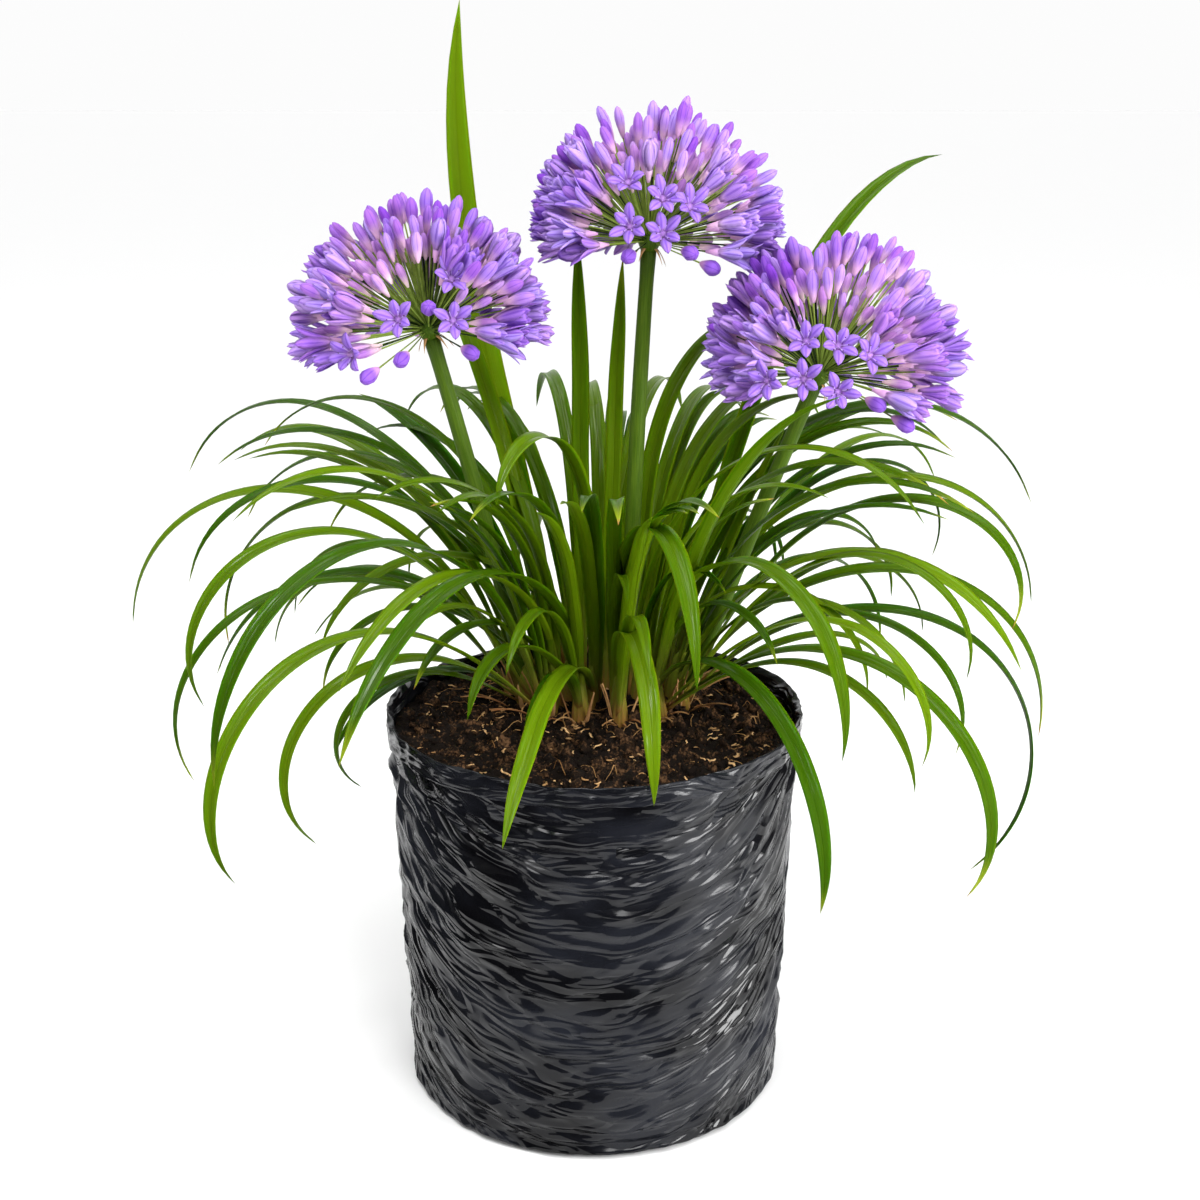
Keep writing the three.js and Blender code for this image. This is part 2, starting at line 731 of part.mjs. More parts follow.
place("planter_bag", planterBag(), polythene);
place("soil", soilSolid(), compost);
SHOOTS.forEach((shoot, n) => {
  const number = String(n + 1).padStart(2, "0");
  place(`leaf_shoot_${number}`, leafShoot(shoot), foliage);
});
STALKS.forEach((stalk, n) => {
  place(`flower_stalk_${n + 1}`, stalkSolid(stalk), stalkGreen);
  place(`flower_head_${n + 1}`, headSolid(stalk, n), violet);
});

export default agapanthus;
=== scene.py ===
"""The looks of an agapanthus in a black planter bag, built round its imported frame.

Metres, +Z up. The origin is the middle of the bag's flat underside, and -Y is the plant's front. Sizes of the
plant and the bag are in millimetres, as on the frame, and turned into metres where meshes are made.
"""

import json
import logging
import random
from collections.abc import Mapping, Sequence
from dataclasses import dataclass, field
from enum import Enum
from math import acos, asin, atan2, copysign, cos, degrees, exp, hypot, pi, radians, sin, sqrt
from typing import Any, ClassVar

import bmesh
import bpy
import numpy as np
from bpy.types import ID, Collection, Material, Mesh, Node, NodeSocket, NodeTree, Object
from mathutils import Matrix, Vector, noise

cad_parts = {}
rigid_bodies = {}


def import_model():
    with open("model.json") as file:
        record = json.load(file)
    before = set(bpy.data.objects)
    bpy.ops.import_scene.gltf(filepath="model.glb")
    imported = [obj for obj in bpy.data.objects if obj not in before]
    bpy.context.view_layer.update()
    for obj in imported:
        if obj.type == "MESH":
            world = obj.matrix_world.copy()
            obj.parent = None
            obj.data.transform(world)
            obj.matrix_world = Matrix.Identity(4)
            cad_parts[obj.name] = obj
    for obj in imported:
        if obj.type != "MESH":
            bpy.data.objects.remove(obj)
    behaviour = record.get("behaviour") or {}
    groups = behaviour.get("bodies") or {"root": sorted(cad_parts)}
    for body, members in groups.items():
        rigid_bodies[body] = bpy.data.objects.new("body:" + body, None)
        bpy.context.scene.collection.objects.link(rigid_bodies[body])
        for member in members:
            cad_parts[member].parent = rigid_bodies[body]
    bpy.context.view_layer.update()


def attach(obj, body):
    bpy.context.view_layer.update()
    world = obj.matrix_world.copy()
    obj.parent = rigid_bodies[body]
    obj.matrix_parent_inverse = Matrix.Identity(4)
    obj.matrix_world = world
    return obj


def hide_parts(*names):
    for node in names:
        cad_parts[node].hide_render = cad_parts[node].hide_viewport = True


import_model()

log = logging.getLogger("agapanthus")

BODY = "root"
SEED = 20
MM = 0.001
UP = Vector((0, 0, 1))
GOLDEN_TURN = pi * (3 - sqrt(5))
ITEM_STEP, ROW_STEP = 0.618034, 0.754878

Colour = tuple[float, float, float, float]
Point = tuple[float, float, float]
Pairs = tuple[tuple[float, float], ...]
Named = Mapping[Any, Any] | None
Fixed = ClassVar[Mapping[str, Any]]


class Slot(Enum):
    """The record's material slots."""

    FILM = "polythene_film"
    SOIL = "potting_soil"
    LEAF = "leaf_green"
    STALK = "stalk_green"
    FLORET = "floret_violet"


# ---- Numbers ----


def smooth(x: float) -> float:
    """Turns 0 to 1 into a smooth step, held at its ends."""
    x = min(1.0, max(0.0, x))
    return x * x * (3 - 2 * x)


def lerp(a: float, b: float, share: float) -> float:
    """Goes a share of the way from a to b."""
    return a + (b - a) * share


def even(n: float, salt: float) -> float:
    """An evenly spread share of 1 for item n of a row; another salt gives another row."""
    return (n * ITEM_STEP + salt * ROW_STEP) % 1


def shares(count: int) -> list[float]:
    """Evenly spaced shares from 0 to 1, both included."""
    return [i / count for i in range(count + 1)]


def spokes(count: int) -> list[float]:
    """Angles evenly spaced round a full turn."""
    return [2 * pi * i / count for i in range(count)]


def rough(x: float, y: float, z: float) -> float:
    """Smooth noise at a point, with its swells about one unit apart."""
    return noise.noise(Vector((x, y, z)))


def rough_round(angle: float, waves: float, salt: float) -> float:
    """Smooth noise that closes round a full turn; more waves make more swells."""
    return rough(waves * cos(angle), waves * sin(angle), salt)


def level(angle: float) -> Vector:
    """The level unit vector at an angle round +Z, in radians."""
    return Vector((cos(angle), sin(angle), 0))


def turned(heading: float) -> Vector:
    """The level unit vector at an angle round +Z, in degrees."""
    return level(radians(heading))


def level_ring(radius: float, z: float, count: int) -> list[Point]:
    """Points round the Z axis at one height."""
    return [(radius * cos(a), radius * sin(a), z) for a in spokes(count)]


def square_to(direction: Vector) -> tuple[Vector, Vector]:
    """Two unit vectors square to a direction and to each other."""
    u = Vector((0, 1, 0.01)).cross(direction).normalized()
    return u, direction.cross(u)


def circle(centre: Vector, direction: Vector, radius: float, count: int) -> np.ndarray:
    """A ring of points round a centre, square to a direction, shaped (count, 3)."""
    u, v = square_to(direction)
    return np.array([centre + radius * (cos(a) * u + sin(a) * v) for a in spokes(count)])


# ---- Meshes ----


def stand(name: str, data: ID) -> Object:
    """Puts a new object in the scene.

    Args:
        name: Its name.
        data: Its mesh, light or camera.

    Returns:
        The object, at the origin.
    """
    made = bpy.data.objects.new(name, data)
    bpy.context.scene.collection.objects.link(made)
    return made


def note(mesh: Mesh, name: str, values: Any, kind: str = "FLOAT") -> None:
    """Stores a number, or a vector, for each point of a mesh as a named attribute.

    Args:
        mesh: The mesh.
        name: The attribute's name.
        values: One for each point.
        kind: The attribute's type.
    """
    held = "vector" if kind == "FLOAT_VECTOR" else "value"
    mesh.attributes.new(name, kind, "POINT").data.foreach_set(held, np.array(values).ravel())


@dataclass
class Skin:
    """The points and faces of one mesh while they are gathered, each point with a place and named values."""

    points: list[np.ndarray] = field(default_factory=list)
    faces: list[list[int]] = field(default_factory=list)
    places: list[np.ndarray] = field(default_factory=list)
    values: dict[str, list[np.ndarray]] = field(default_factory=dict)
    count: int = 0

    def loft(
        self,
        rings: np.ndarray,
        across: Sequence[float] | None = None,
        along: Sequence[float] | None = None,
        tip: Any = None,
        **values: Any,
    ) -> None:
        """Adds a closed skin over a stack of rings, anticlockwise as seen from the last one.

        Args:
            rings: Points shaped (rings, around, 3).
            across: The place of each point round a ring, evenly spread unless given.
            along: The place of each ring, and of the tip if there is one, evenly spread unless given.
            tip: A last point that closes the stack, in place of a flat end.
            values: Named numbers, one for all the points or one for each.
        """
        high, around, _ = rings.shape
        across = shares(around)[:-1] if across is None else across
        along = shares(high - (tip is None)) if along is None else along
        points = rings.reshape(-1, 3)
        places = np.stack([np.tile(across, high), np.repeat(along[:high], around)], axis=1)
        if tip is not None:
            points = np.vstack([points, tip])
            places = np.vstack([places, (0.5, along[-1])])
        self.points.append(points)
        self.places.append(places)
        for name, value in values.items():
            self.values.setdefault(name, []).append(np.broadcast_to(value, len(points)))
        index = self.count + np.arange(high * around).reshape(high, around)
        after = np.roll(index, -1, axis=1)
        quads = np.stack([index[:-1], after[:-1], after[1:], index[1:]], axis=-1)
        self.faces += quads.reshape(-1, 4).tolist()
        self.faces.append(index[0][::-1].tolist())
        self.count += len(points)
        if tip is None:
            self.faces.append(index[-1].tolist())
        else:
            self.faces += [[a, b, self.count - 1] for a, b in zip(index[-1].tolist(), after[-1].tolist())]

    def piece(self, name: str, material: Material | None = None) -> Object:
        """Makes the gathered mesh an object in the scene.

        Args:
            name: The object's name.
            material: Its one material, or None for a shape that a tree copies.

        Returns:
            The smooth-shaded object, at the origin.
        """
        mesh = bpy.data.meshes.new(name)
        mesh.from_pydata(np.vstack(self.points).tolist(), [], self.faces)
        places = np.vstack(self.places)
        corners = np.empty(len(mesh.loops), dtype=np.int32)
        mesh.loops.foreach_get("vertex_index", corners)
        mesh.uv_layers.new(name="place").data.foreach_set("uv", places[corners].ravel())
        for key, parts in self.values.items():
            note(mesh, key, np.concatenate(parts))
        mesh.shade_smooth()
        if material:
            mesh.materials.append(material)
        return stand(name, mesh)


def settle(piece: Object, slot: Slot, *nodes: str) -> None:
    """Fixes a finished piece to the frame.

    Args:
        piece: The piece, with its place in its mesh.
        slot: Its material slot in the record; not used.
        nodes: The CAD nodes it stands for.
    """
    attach(piece, BODY)
    if nodes:
        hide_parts(*nodes)
    log.info("%s: %d faces", piece.name, len(piece.data.polygons))


# ---- Node trees ----


class Value:
    """A number in a node tree: its operators add Math nodes."""

    def __init__(self, graph: "Graph", socket: NodeSocket) -> None:
        """Wraps a socket of a graph's node."""
        self.graph = graph
        self.socket = socket

    def _math(self, operation: str, first: Any, second: Any = 0.0) -> "Value":
        """Adds one Math node and returns its result."""
        node = self.graph.add("ShaderNodeMath", {"operation": operation}, {0: first, 1: second})
        return Value(self.graph, node.outputs[0])

    def __add__(self, other: Any) -> "Value":
        """self + other."""
        return self._math("ADD", self, other)

    def __radd__(self, other: Any) -> "Value":
        """other + self."""
        return self._math("ADD", other, self)

    def __sub__(self, other: Any) -> "Value":
        """self - other."""
        return self._math("SUBTRACT", self, other)

    def __rsub__(self, other: Any) -> "Value":
        """other - self."""
        return self._math("SUBTRACT", other, self)

    def __mul__(self, other: Any) -> "Value":
        """self * other."""
        return self._math("MULTIPLY", self, other)

    def __rmul__(self, other: Any) -> "Value":
        """other * self."""
        return self._math("MULTIPLY", other, self)

    def __abs__(self) -> "Value":
        """The size of self without its sign."""
        return self._math("ABSOLUTE", self)

    def sine(self) -> "Value":
        """The sine of self in radians."""
        return self._math("SINE", self)

    def zigzag(self) -> "Value":
        """A triangle wave from 0 to 1 and back, one for each 1 of self."""
        return self._math("PINGPONG", self, 0.5) * 2.0

    def fade(self, start: float, end: float) -> "Value":
        """A smooth step from 0 where self is start to 1 where it is end."""
        how = {"interpolation_type": "SMOOTHSTEP"}
        return self.graph.value("ShaderNodeMapRange", how, Value=self, From_Min=start, From_Max=end)


class Graph:
    """Adds nodes to one shader or geometry tree."""

    def __init__(self, tree: NodeTree) -> None:
        """Takes a tree and empties it."""
        tree.nodes.clear()
        self.tree = tree

    def add(self, kind: str, settings: Named = None, inputs: Named = None) -> Node:
        """Adds one node.

        Args:
            kind: The node's type.
            settings: Properties, which are set first.
            inputs: A value or a link for each socket, by its name or its number.

        Returns:
            The new node.
        """
        node = self.tree.nodes.new(kind)
        for name, value in (settings or {}).items():
            setattr(node, name, value)
        for key, value in (inputs or {}).items():
            socket = node.inputs[key] if isinstance(key, int) else self._named(node.inputs, key)
            if isinstance(value, Value):
                value = value.socket
            if isinstance(value, NodeSocket):
                self.tree.links.new(value, socket)
            else:
                socket.default_value = value
        return node

    @staticmethod
    def _named(sockets: Any, name: str) -> NodeSocket:
        """The shown socket of that name."""
        return next(s for s in sockets if s.enabled and s.name == name)

    def link(self, kind: str, settings: Named = None, **inputs: Any) -> NodeSocket:
        """Adds a node by its inputs' names, with _ for a space, and returns its first shown output."""
        node = self.add(kind, settings, {name.replace("_", " "): value for name, value in inputs.items()})
        return next(s for s in node.outputs if s.enabled)

    def value(self, kind: str, settings: Named = None, **inputs: Any) -> Value:
        """Adds a node in the same way, and returns a result that maths can use."""
        return Value(self, self.link(kind, settings, **inputs))

    def noise(self, at: NodeSocket, scale: float, detail: float = 2.0) -> Value:
        """Soft noise about 0.5 at a place."""
        return self.value("ShaderNodeTexNoise", Vector=at, Scale=scale, Detail=detail)

    def vector(self, x: Any, y: Any, z: Any) -> NodeSocket:
        """A vector from three numbers."""
        return self.link("ShaderNodeCombineXYZ", X=x, Y=y, Z=z)

    def parts(self, vector: NodeSocket) -> list[Value]:
        """The x, y and z of a vector."""
        node = self.add("ShaderNodeSeparateXYZ", inputs={"Vector": vector})
        return [Value(self, output) for output in node.outputs]

    def mix(self, share: Any, a: Any, b: Any) -> NodeSocket:
        """A colour a share of the way from a to b."""
        return self.link("ShaderNodeMix", {"data_type": "RGBA"}, Factor=share, A=a, B=b)

    def value_of(self, name: str) -> Value:
        """A named number of the surface."""
        node = self.add("ShaderNodeAttribute", {"attribute_name": name})
        return Value(self, self._named(node.outputs, "Fac"))

    def place(self) -> list[Value]:
        """How far across and along its piece a point of the surface is."""
        return self.parts(self.link("ShaderNodeUVMap", {"uv_map": "place"}))[:2]

    def spot(self, kind: str = "Object") -> NodeSocket:
        """The object coordinates in metres; in a world's tree, Generated is the way a ray leaves."""
        return self._named(self.add("ShaderNodeTexCoord").outputs, kind)

    def bump(self, height: Value, depth: float) -> NodeSocket:
        """The normal of a surface raised by a height, times a depth in metres."""
        return self.link("ShaderNodeBump", Height=height, Distance=depth, Strength=1.0)


# ---- Finishes ----


@dataclass(frozen=True)
class Finish:
    """A material: what its paint method gives the shader, and what is the same all over."""

    name: str
    fixed: Fixed = {}

    def paint(self, graph: Graph) -> dict[str, Any]:
        """The inputs of the shader that vary over the surface."""
        raise NotImplementedError

    def material(self) -> Material:
        """Makes the material.

        Returns:
            The material with its node tree.
        """
        made = bpy.data.materials.new(self.name)
        made.use_nodes = True
        graph = Graph(made.node_tree)
        shader = graph.add("ShaderNodeBsdfPrincipled", inputs={**self.fixed, **self.paint(graph)})
        graph.add("ShaderNodeOutputMaterial", inputs={"Surface": shader.outputs[0]})
        return made


@dataclass(frozen=True)
class FilmFinish(Finish):
    """Black polythene film, with fine flat-sided creases that run along the folds and a weak gloss."""

    dark: Colour = (0.002, 0.002, 0.0025, 1)
    light: Colour = (0.009, 0.01, 0.014, 1)
    facets: float = 50.0  # facets in a metre across the folds
    creases: float = 102.0  # finer creases in the same metre
    relief: float = 0.0017  # metres
    smoothest: float = 0.1
    fixed: Fixed = {"Specular IOR Level": 0.26}

    def paint(self, graph: Graph) -> dict[str, Any]:
        """Facets and creases that are long along the folds and short across them.

        Args:
            graph: The material's tree.

        Returns:
            The shader's inputs that vary.
        """
        x, y, _ = graph.parts(graph.spot())
        fold = graph.value_of("fold")

        def drawn_out(squeeze: float, scale: float, detail: float) -> Value:
            """Noise whose patches are shorter across the folds by a squeeze."""
            return graph.noise(graph.vector(x, y, fold * squeeze), scale, detail)

        facets = (fold * self.facets + drawn_out(2.6, 10, 1.0) * 5.0).zigzag()
        finer = (fold * self.creases + drawn_out(4.0, 20, 1.0) * 6.0).zigzag()
        patches = drawn_out(2.0, 12, 3.0)
        depth = drawn_out(3.0, 15, 1.0).fade(0.42, 0.62)
        return {
            "Base Color": graph.mix(patches.fade(0.35, 0.7), self.dark, self.light),
            "Roughness": self.smoothest + 0.14 * patches.fade(0.35, 0.65),
            "Normal": graph.bump(facets * depth + finer * (0.5 - depth * 0.35), self.relief),
        }


@dataclass(frozen=True)
class SoilFinish(Finish):
    """Dark, moist, crumbly compost."""

    wet: Colour = (0.007, 0.004, 0.0025, 1)
    damp: Colour = (0.024, 0.012, 0.0055, 1)
    dry: Colour = (0.13, 0.066, 0.03, 1)
    clods: float = 90  # patches in a metre
    grains: float = 520
    relief: float = 0.0018
    fixed: Fixed = {"Specular IOR Level": 0.15}

    def paint(self, graph: Graph) -> dict[str, Any]:
        """Patches of wet and drier crumbs.

        Args:
            graph: The material's tree.

        Returns:
            The shader's inputs that vary.
        """
        at = graph.spot()
        coarse, grain = graph.noise(at, self.clods, 3.0), graph.noise(at, self.grains, 3.0)
        tone = graph.value_of("tone")
        body = graph.mix((coarse * 0.8 + tone * 0.3).fade(0.38, 0.72), self.wet, self.damp)
        return {
            "Base Color": graph.mix((grain * coarse + tone * 0.1).fade(0.29, 0.45), body, self.dry),
            "Roughness": 0.95 - 0.25 * grain.fade(0.55, 0.75),
            "Normal": graph.bump(grain + coarse * 0.6, self.relief),
        }


@dataclass(frozen=True)
class BladeFinish(Finish):
    """A strap leaf: fine veins along it, a midrib groove drawn a little darker and a waxy gloss, sometimes a
    dry tip.
    """

    deep: Colour = (0.02, 0.06, 0.0005, 1)
    fresh: Colour = (0.1, 0.172, 0.002, 1)
    yellow: Colour = (0.36, 0.42, 0.02, 1)
    foot: Colour = (0.26, 0.27, 0.035, 1)
    husk: Colour = (0.3, 0.125, 0.04, 1)
    brown: Colour = (0.42, 0.2, 0.06, 1)
    veins: float = 88.0  # radians of their wave across a blade
    wax: float = 0.7
    relief: float = 0.0004
    fixed: Fixed = {
        "Subsurface Weight": 0.3,
        "Subsurface Radius": (0.5, 1.0, 0.1),
        "Subsurface Scale": 0.002,
        "Specular IOR Level": 0.03,
        "Specular Tint": (0.8, 1.0, 0.5, 1.0),
        "Coat Roughness": 0.16,
    }

    def paint(self, graph: Graph) -> dict[str, Any]:
        """Green by leaf, streaked along the blade, darker towards the tip (partly older tissue, partly
        painted shade), pale and dull at the foot and dry at the tip.

        Args:
            graph: The material's tree.

        Returns:
            The shader's inputs that vary.
        """
        across, along = graph.place()
        tone, dry, up = (graph.value_of(name) for name in ("tone", "dry", "up"))
        lines = (across * self.veins + graph.noise(graph.spot(), 30) * 3.0).sine()
        streaks = graph.noise(graph.vector(across * 9.0, along * 5.0, tone * 40.0), 2.0, 3.0)
        midrib = 1.0 - abs(across - 0.5).fade(0.0, 0.06)
        # each leaf's own tone and streaks, and darker towards the tip: partly older tissue, partly painted
        # shade where the blades hang away from the light
        freshness_and_tip_shade = tone * 0.8 + streaks * 0.6 - along * 0.2 - 0.16
        tips = (along + dry * 0.1 + streaks * 0.02).fade(1.075, 1.095)
        colour = graph.mix(freshness_and_tip_shade.fade(0.0, 1.0), self.deep, self.fresh)
        for share, layer in (
            # a darker line down the midrib groove
            (midrib * 0.15, self.deep),
            ((lines * 0.5 + 0.5) * 0.1, self.fresh),
            ((1.0 - along.fade(0.03, 0.24)) * 0.5, self.foot),
            ((1.0 - (along + streaks * 0.05).fade(0.04, 0.105)) * 0.85, self.husk),
            ((along + dry * 0.15 + streaks * 0.05).fade(1.05, 1.17) * 0.8, self.yellow),
            (tips, self.brown),
        ):
            colour = graph.mix(share, colour, layer)
        return {
            "Base Color": colour,
            "Roughness": 0.3 + 0.3 * tips,
            "Coat Weight": streaks.fade(0.48, 0.66) * up.fade(0.2, 0.8) * self.wax,
            "Normal": graph.bump(lines * 0.1 + streaks * 0.5 - midrib * 0.6, self.relief),
        }


@dataclass(frozen=True)
class StalkFinish(Finish):
    """A fleshy green stalk with faint lines along it and a pale bloom, darker at its top: partly the hub's
    own colour, partly painted shade under the head.
    """

    green: Colour = (0.045, 0.094, 0.004, 1)
    bloom: Colour = (0.075, 0.135, 0.008, 1)
    # the colour of the stalk's top and hub: partly their own darker green, partly painted shade under the
    # head
    dark_hub_and_painted_shade: Colour = (0.03, 0.06, 0.006, 1)
    lines: float = 150.8  # radians of their wave round a stalk
    relief: float = 0.0004
    fixed: Fixed = {
        "Subsurface Weight": 0.1,
        "Subsurface Radius": (0.4, 1.0, 0.2),
        "Subsurface Scale": 0.003,
        "Specular IOR Level": 0.12,
        "Specular Tint": (0.9, 1.0, 0.7, 1.0),
    }

    def paint(self, graph: Graph) -> dict[str, Any]:
        """Long streaks, with specks of bloom, and a darker top that is partly painted shade under the head.

        Args:
            graph: The material's tree.

        Returns:
            The shader's inputs that vary.
        """
        across, along = graph.place()
        around = (across * self.lines).sine()
        streaks = graph.noise(graph.vector(across * 22.0, along * 6.0, 0.5), 2.0, 3.0)
        specks = graph.noise(graph.spot(), 900, 1.0)
        body = graph.mix(streaks.fade(0.35, 0.7), self.green, self.bloom)
        # darker over the top of the stalk and the hub: partly the hub's own colour, partly painted shade
        # under the head
        body = graph.mix(along.fade(0.93, 1.0) * 0.7, body, self.dark_hub_and_painted_shade)
        return {
            "Base Color": graph.mix(specks.fade(0.6, 0.75) * 0.25, body, self.bloom),
            "Roughness": 0.34 + 0.16 * streaks,
            "Normal": graph.bump(around * 0.12 + specks * 0.3, self.relief),
        }


@dataclass(frozen=True)
class PetalFinish(Finish):
    """Florets: pinkish at the foot, violet towards the tips, with a darker line down each tepal."""

    pink: Colour = (0.72, 0.38, 0.6, 1)
    cream: Colour = (0.94, 0.72, 0.7, 1)
    lilac: Colour = (0.42, 0.29, 0.8, 1)
    violet: Colour = (0.21, 0.05, 0.5, 1)
    stripe: Colour = (0.1, 0.02, 0.36, 1)
    thread: Colour = (0.66, 0.5, 0.86, 1)
    anther: Colour = (0.08, 0.03, 0.05, 1)
    veins: float = 56.0
    relief: float = 0.0005
    fixed: Fixed = {
        "Subsurface Weight": 0.15,
        "Subsurface Radius": (0.8, 0.5, 1.0),
        "Subsurface Scale": 0.002,
        "Specular IOR Level": 0.16,
        "Specular Tint": (0.85, 0.6, 1.0, 1.0),
    }

    def paint(self, graph: Graph) -> dict[str, Any]:
        """Each floret's own tone, its foot, its veins and its stamens.

        Args:
            graph: The material's tree.

        Returns:
            The shader's inputs that vary.
        """
        across, along = graph.place()
        tone, young, part = (graph.value_of(name) for name in ("tone", "young", "part"))
        mottle = graph.noise(graph.spot(), 260, 3.0)
        stripe = (1.0 - abs(across - 0.5).fade(0.0, 0.16)) * along.fade(0.3, 0.6) * (0.65 - young * 0.4)
        veins = (across * self.veins).sine() * 0.5 + 0.5
        foot = graph.mix(young, self.pink, self.cream)
        colour = graph.mix(tone, self.lilac, self.violet)
        for share, layer in (
            (young * 0.6, self.pink),
            ((1.0 - (along + mottle * 0.2).fade(0.24, 0.72)) * (0.8 + young * 0.2), foot),
            (stripe, self.stripe),
            (veins * (0.16 - young * 0.1), self.stripe),
            (part.fade(0.25, 0.5), self.thread),
            (part.fade(0.7, 0.9), self.anther),
        ):
            colour = graph.mix(share, colour, layer)
        return {
            "Base Color": colour,
            "Roughness": 0.42 + 0.2 * mottle,
            "Normal": graph.bump(veins * 0.12 + mottle * 0.3, self.relief),
        }


@dataclass(frozen=True)
class StreakFinish(Finish):
    """Plain plant matter with streaks between two colours, picked for each piece by its tone."""

    one: Colour
    other: Colour
    gloss: float = 0.3
    relief: float = 0.0008
    fixed: Fixed = {"Specular IOR Level": 0.15}

    def paint(self, graph: Graph) -> dict[str, Any]:
        """Streaks and pits.

        Args:
            graph: The material's tree.

        Returns:
            The shader's inputs that vary.
        """
        streaks = graph.noise(graph.spot(), 240, 3.0)
        share = (graph.value_of("tone") * 0.6 + streaks * 0.8 - 0.2).fade(0.0, 1.0)
        return {
            "Base Color": graph.mix(share, self.one, self.other),
            "Roughness": (1.0 - self.gloss) - 0.2 * streaks,
            "Normal": graph.bump(streaks, self.relief),
        }


@dataclass(frozen=True)
class FloorFinish(Finish):
    """A plain pale floor, very slightly uneven in its gloss."""

    pale: Colour = (0.8, 0.8, 0.8, 1)

    def paint(self, graph: Graph) -> dict[str, Any]:
        """One colour, with a hint of unevenness in the gloss."""
        return {"Base Color": self.pale, "Roughness": 0.7 + 0.1 * graph.noise(graph.spot(), 3.0)}


# ---- Geometry trees ----


class Growth:
    """A geometry tree with named inputs, which grows copies or sweeps on what it is given."""

    KINDS: ClassVar[Mapping[type, str]] = {
        float: "NodeSocketFloat",
        int: "NodeSocketInt",
        Material: "NodeSocketMaterial",
        Collection: "NodeSocketCollection",
    }

    def __init__(self, name: str, **inputs: type) -> None:
        """Makes the tree with a geometry in and out.

        Args:
            name: The tree's name.
            inputs: The type of each of its named inputs.
        """
        self.tree = bpy.data.node_groups.new(name, "GeometryNodeTree")
        face = self.tree.interface
        for way in ("INPUT", "OUTPUT"):
            face.new_socket("Geometry", in_out=way, socket_type="NodeSocketGeometry")
        for key, kind in inputs.items():
            face.new_socket(key, in_out="INPUT", socket_type=self.KINDS[kind])
        self.graph = Graph(self.tree)
        self.inlet = self.graph.add("NodeGroupInput")

    def given(self, name: str) -> NodeSocket:
        """The input of that name."""
        return self.inlet.outputs[name]

    def named(self, name: str, kind: str = "FLOAT") -> NodeSocket:
        """A named value of the geometry."""
        return self.graph.link("GeometryNodeInputNamedAttribute", {"data_type": kind}, Name=name)

    def draw(self, low: Any, high: Any, kind: str = "FLOAT", offset: int = 0) -> NodeSocket:
        """A random number or vector for each copy, from the tree's seed and an offset."""
        seed = Value(self.graph, self.given("Seed")) + float(offset)
        return self.graph.link("FunctionNodeRandomValue", {"data_type": kind}, Min=low, Max=high, Seed=seed)

    def copies(self, points: Any, number: Any, rotation: Any, scale: Any) -> NodeSocket:
        """Puts one of the shapes given on each point.

        Args:
            points: The points.
            number: Which shape each one gets.
            rotation: How it is turned.
            scale: How large it is.

        Returns:
            The copies.
        """
        given = {"Collection": self.given("Shapes"), "Separate Children": True, "Reset Children": True}
        shapes = self.graph.link("GeometryNodeCollectionInfo", **given)
        picked = {"Instance": shapes, "Pick Instance": True, "Instance Index": number}
        turned_to = {"Points": points, "Rotation": rotation, "Scale": scale}
        return self.graph.link("GeometryNodeInstanceOnPoints", **picked, **turned_to)

    def finish(self, geometry: NodeSocket) -> None:
        """Ends the tree.

        Args:
            geometry: The copies, which are made real meshes with the material given.
        """
        real = self.graph.link("GeometryNodeRealizeInstances", Geometry=geometry)
        dressed = self.graph.link("GeometryNodeSetMaterial", Geometry=real, Material=self.given("Finish"))
        self.graph.add("NodeGroupOutput", inputs={"Geometry": dressed})

    def grow(self, source: Object, name: str, **settings: Any) -> Object:
        """Runs the tree on an object and keeps the result as a plain mesh.

        Args:
            source: The object that the tree takes, which is then removed.
            name: The name of the piece.
            settings: The tree's inputs by name.

        Returns:
            The new piece.
        """
        modifier = source.modifiers.new("growth", "NODES")
        modifier.node_group = self.tree
        for item in self.tree.interface.items_tree:
            if item.in_out == "INPUT" and item.name in settings:
                modifier[item.identifier] = settings[item.name]
        view = bpy.context.evaluated_depsgraph_get()
        grown = source.evaluated_get(view)
        mesh = bpy.data.meshes.new_from_object(grown, preserve_all_data_layers=True, depsgraph=view)
        source.modifiers.remove(modifier)
        bpy.data.objects.remove(source)
        mesh.name = name
        mesh.shade_smooth()
        return stand(name, mesh)


class Sweep(Growth):
    """Turns the edges of a wire mesh into thin round stems."""

    def __init__(self) -> None:
        """Sweeps a circle along each run of edges, scaled by the wire's girth."""
        super().__init__("sweep", Radius=float, Sides=int, Finish=Material)
        graph, sides, radius = self.graph, self.given("Sides"), self.given("Radius")
        curve = graph.link("GeometryNodeMeshToCurve", Mesh=self.given("Geometry"))
        section = graph.link("GeometryNodeCurvePrimitiveCircle", Resolution=sides, Radius=radius)
        swept = {"Curve": curve, "Profile Curve": section, "Scale": self.named("girth"), "Fill Caps": True}
        self.finish(graph.link("GeometryNodeCurveToMesh", **swept))


class Planting(Growth):
    """Puts one of several shapes at each point, aimed and sized by the point's own values."""

    def __init__(self) -> None:
        """Picks a shape by number, aims it along a vector and turns it by a random angle."""
        super().__init__("planting", Shapes=Collection, Scale=float, Seed=int, Finish=Material)
        graph = self.graph
        aim, size = self.named("aim", "FLOAT_VECTOR"), self.named("size", "FLOAT_VECTOR")
        aimed = graph.link("FunctionNodeAlignRotationToVector", {"axis": "Z"}, Vector=aim)
        spin = graph.vector(0.0, 0.0, self.draw(0.0, 2 * pi))
        about = graph.link("FunctionNodeEulerToRotation", Euler=spin)
        own = {"rotation_space": "LOCAL"}
        turn = graph.link("FunctionNodeRotateRotation", own, Rotation=aimed, Rotate_By=about)
        scaled = {0: size, "Scale": self.given("Scale")}
        sized = graph.add("ShaderNodeVectorMath", {"operation": "SCALE"}, scaled)
        shape = self.named("shape", "INT")
        self.finish(self.copies(self.given("Geometry"), shape, turn, sized.outputs[0]))


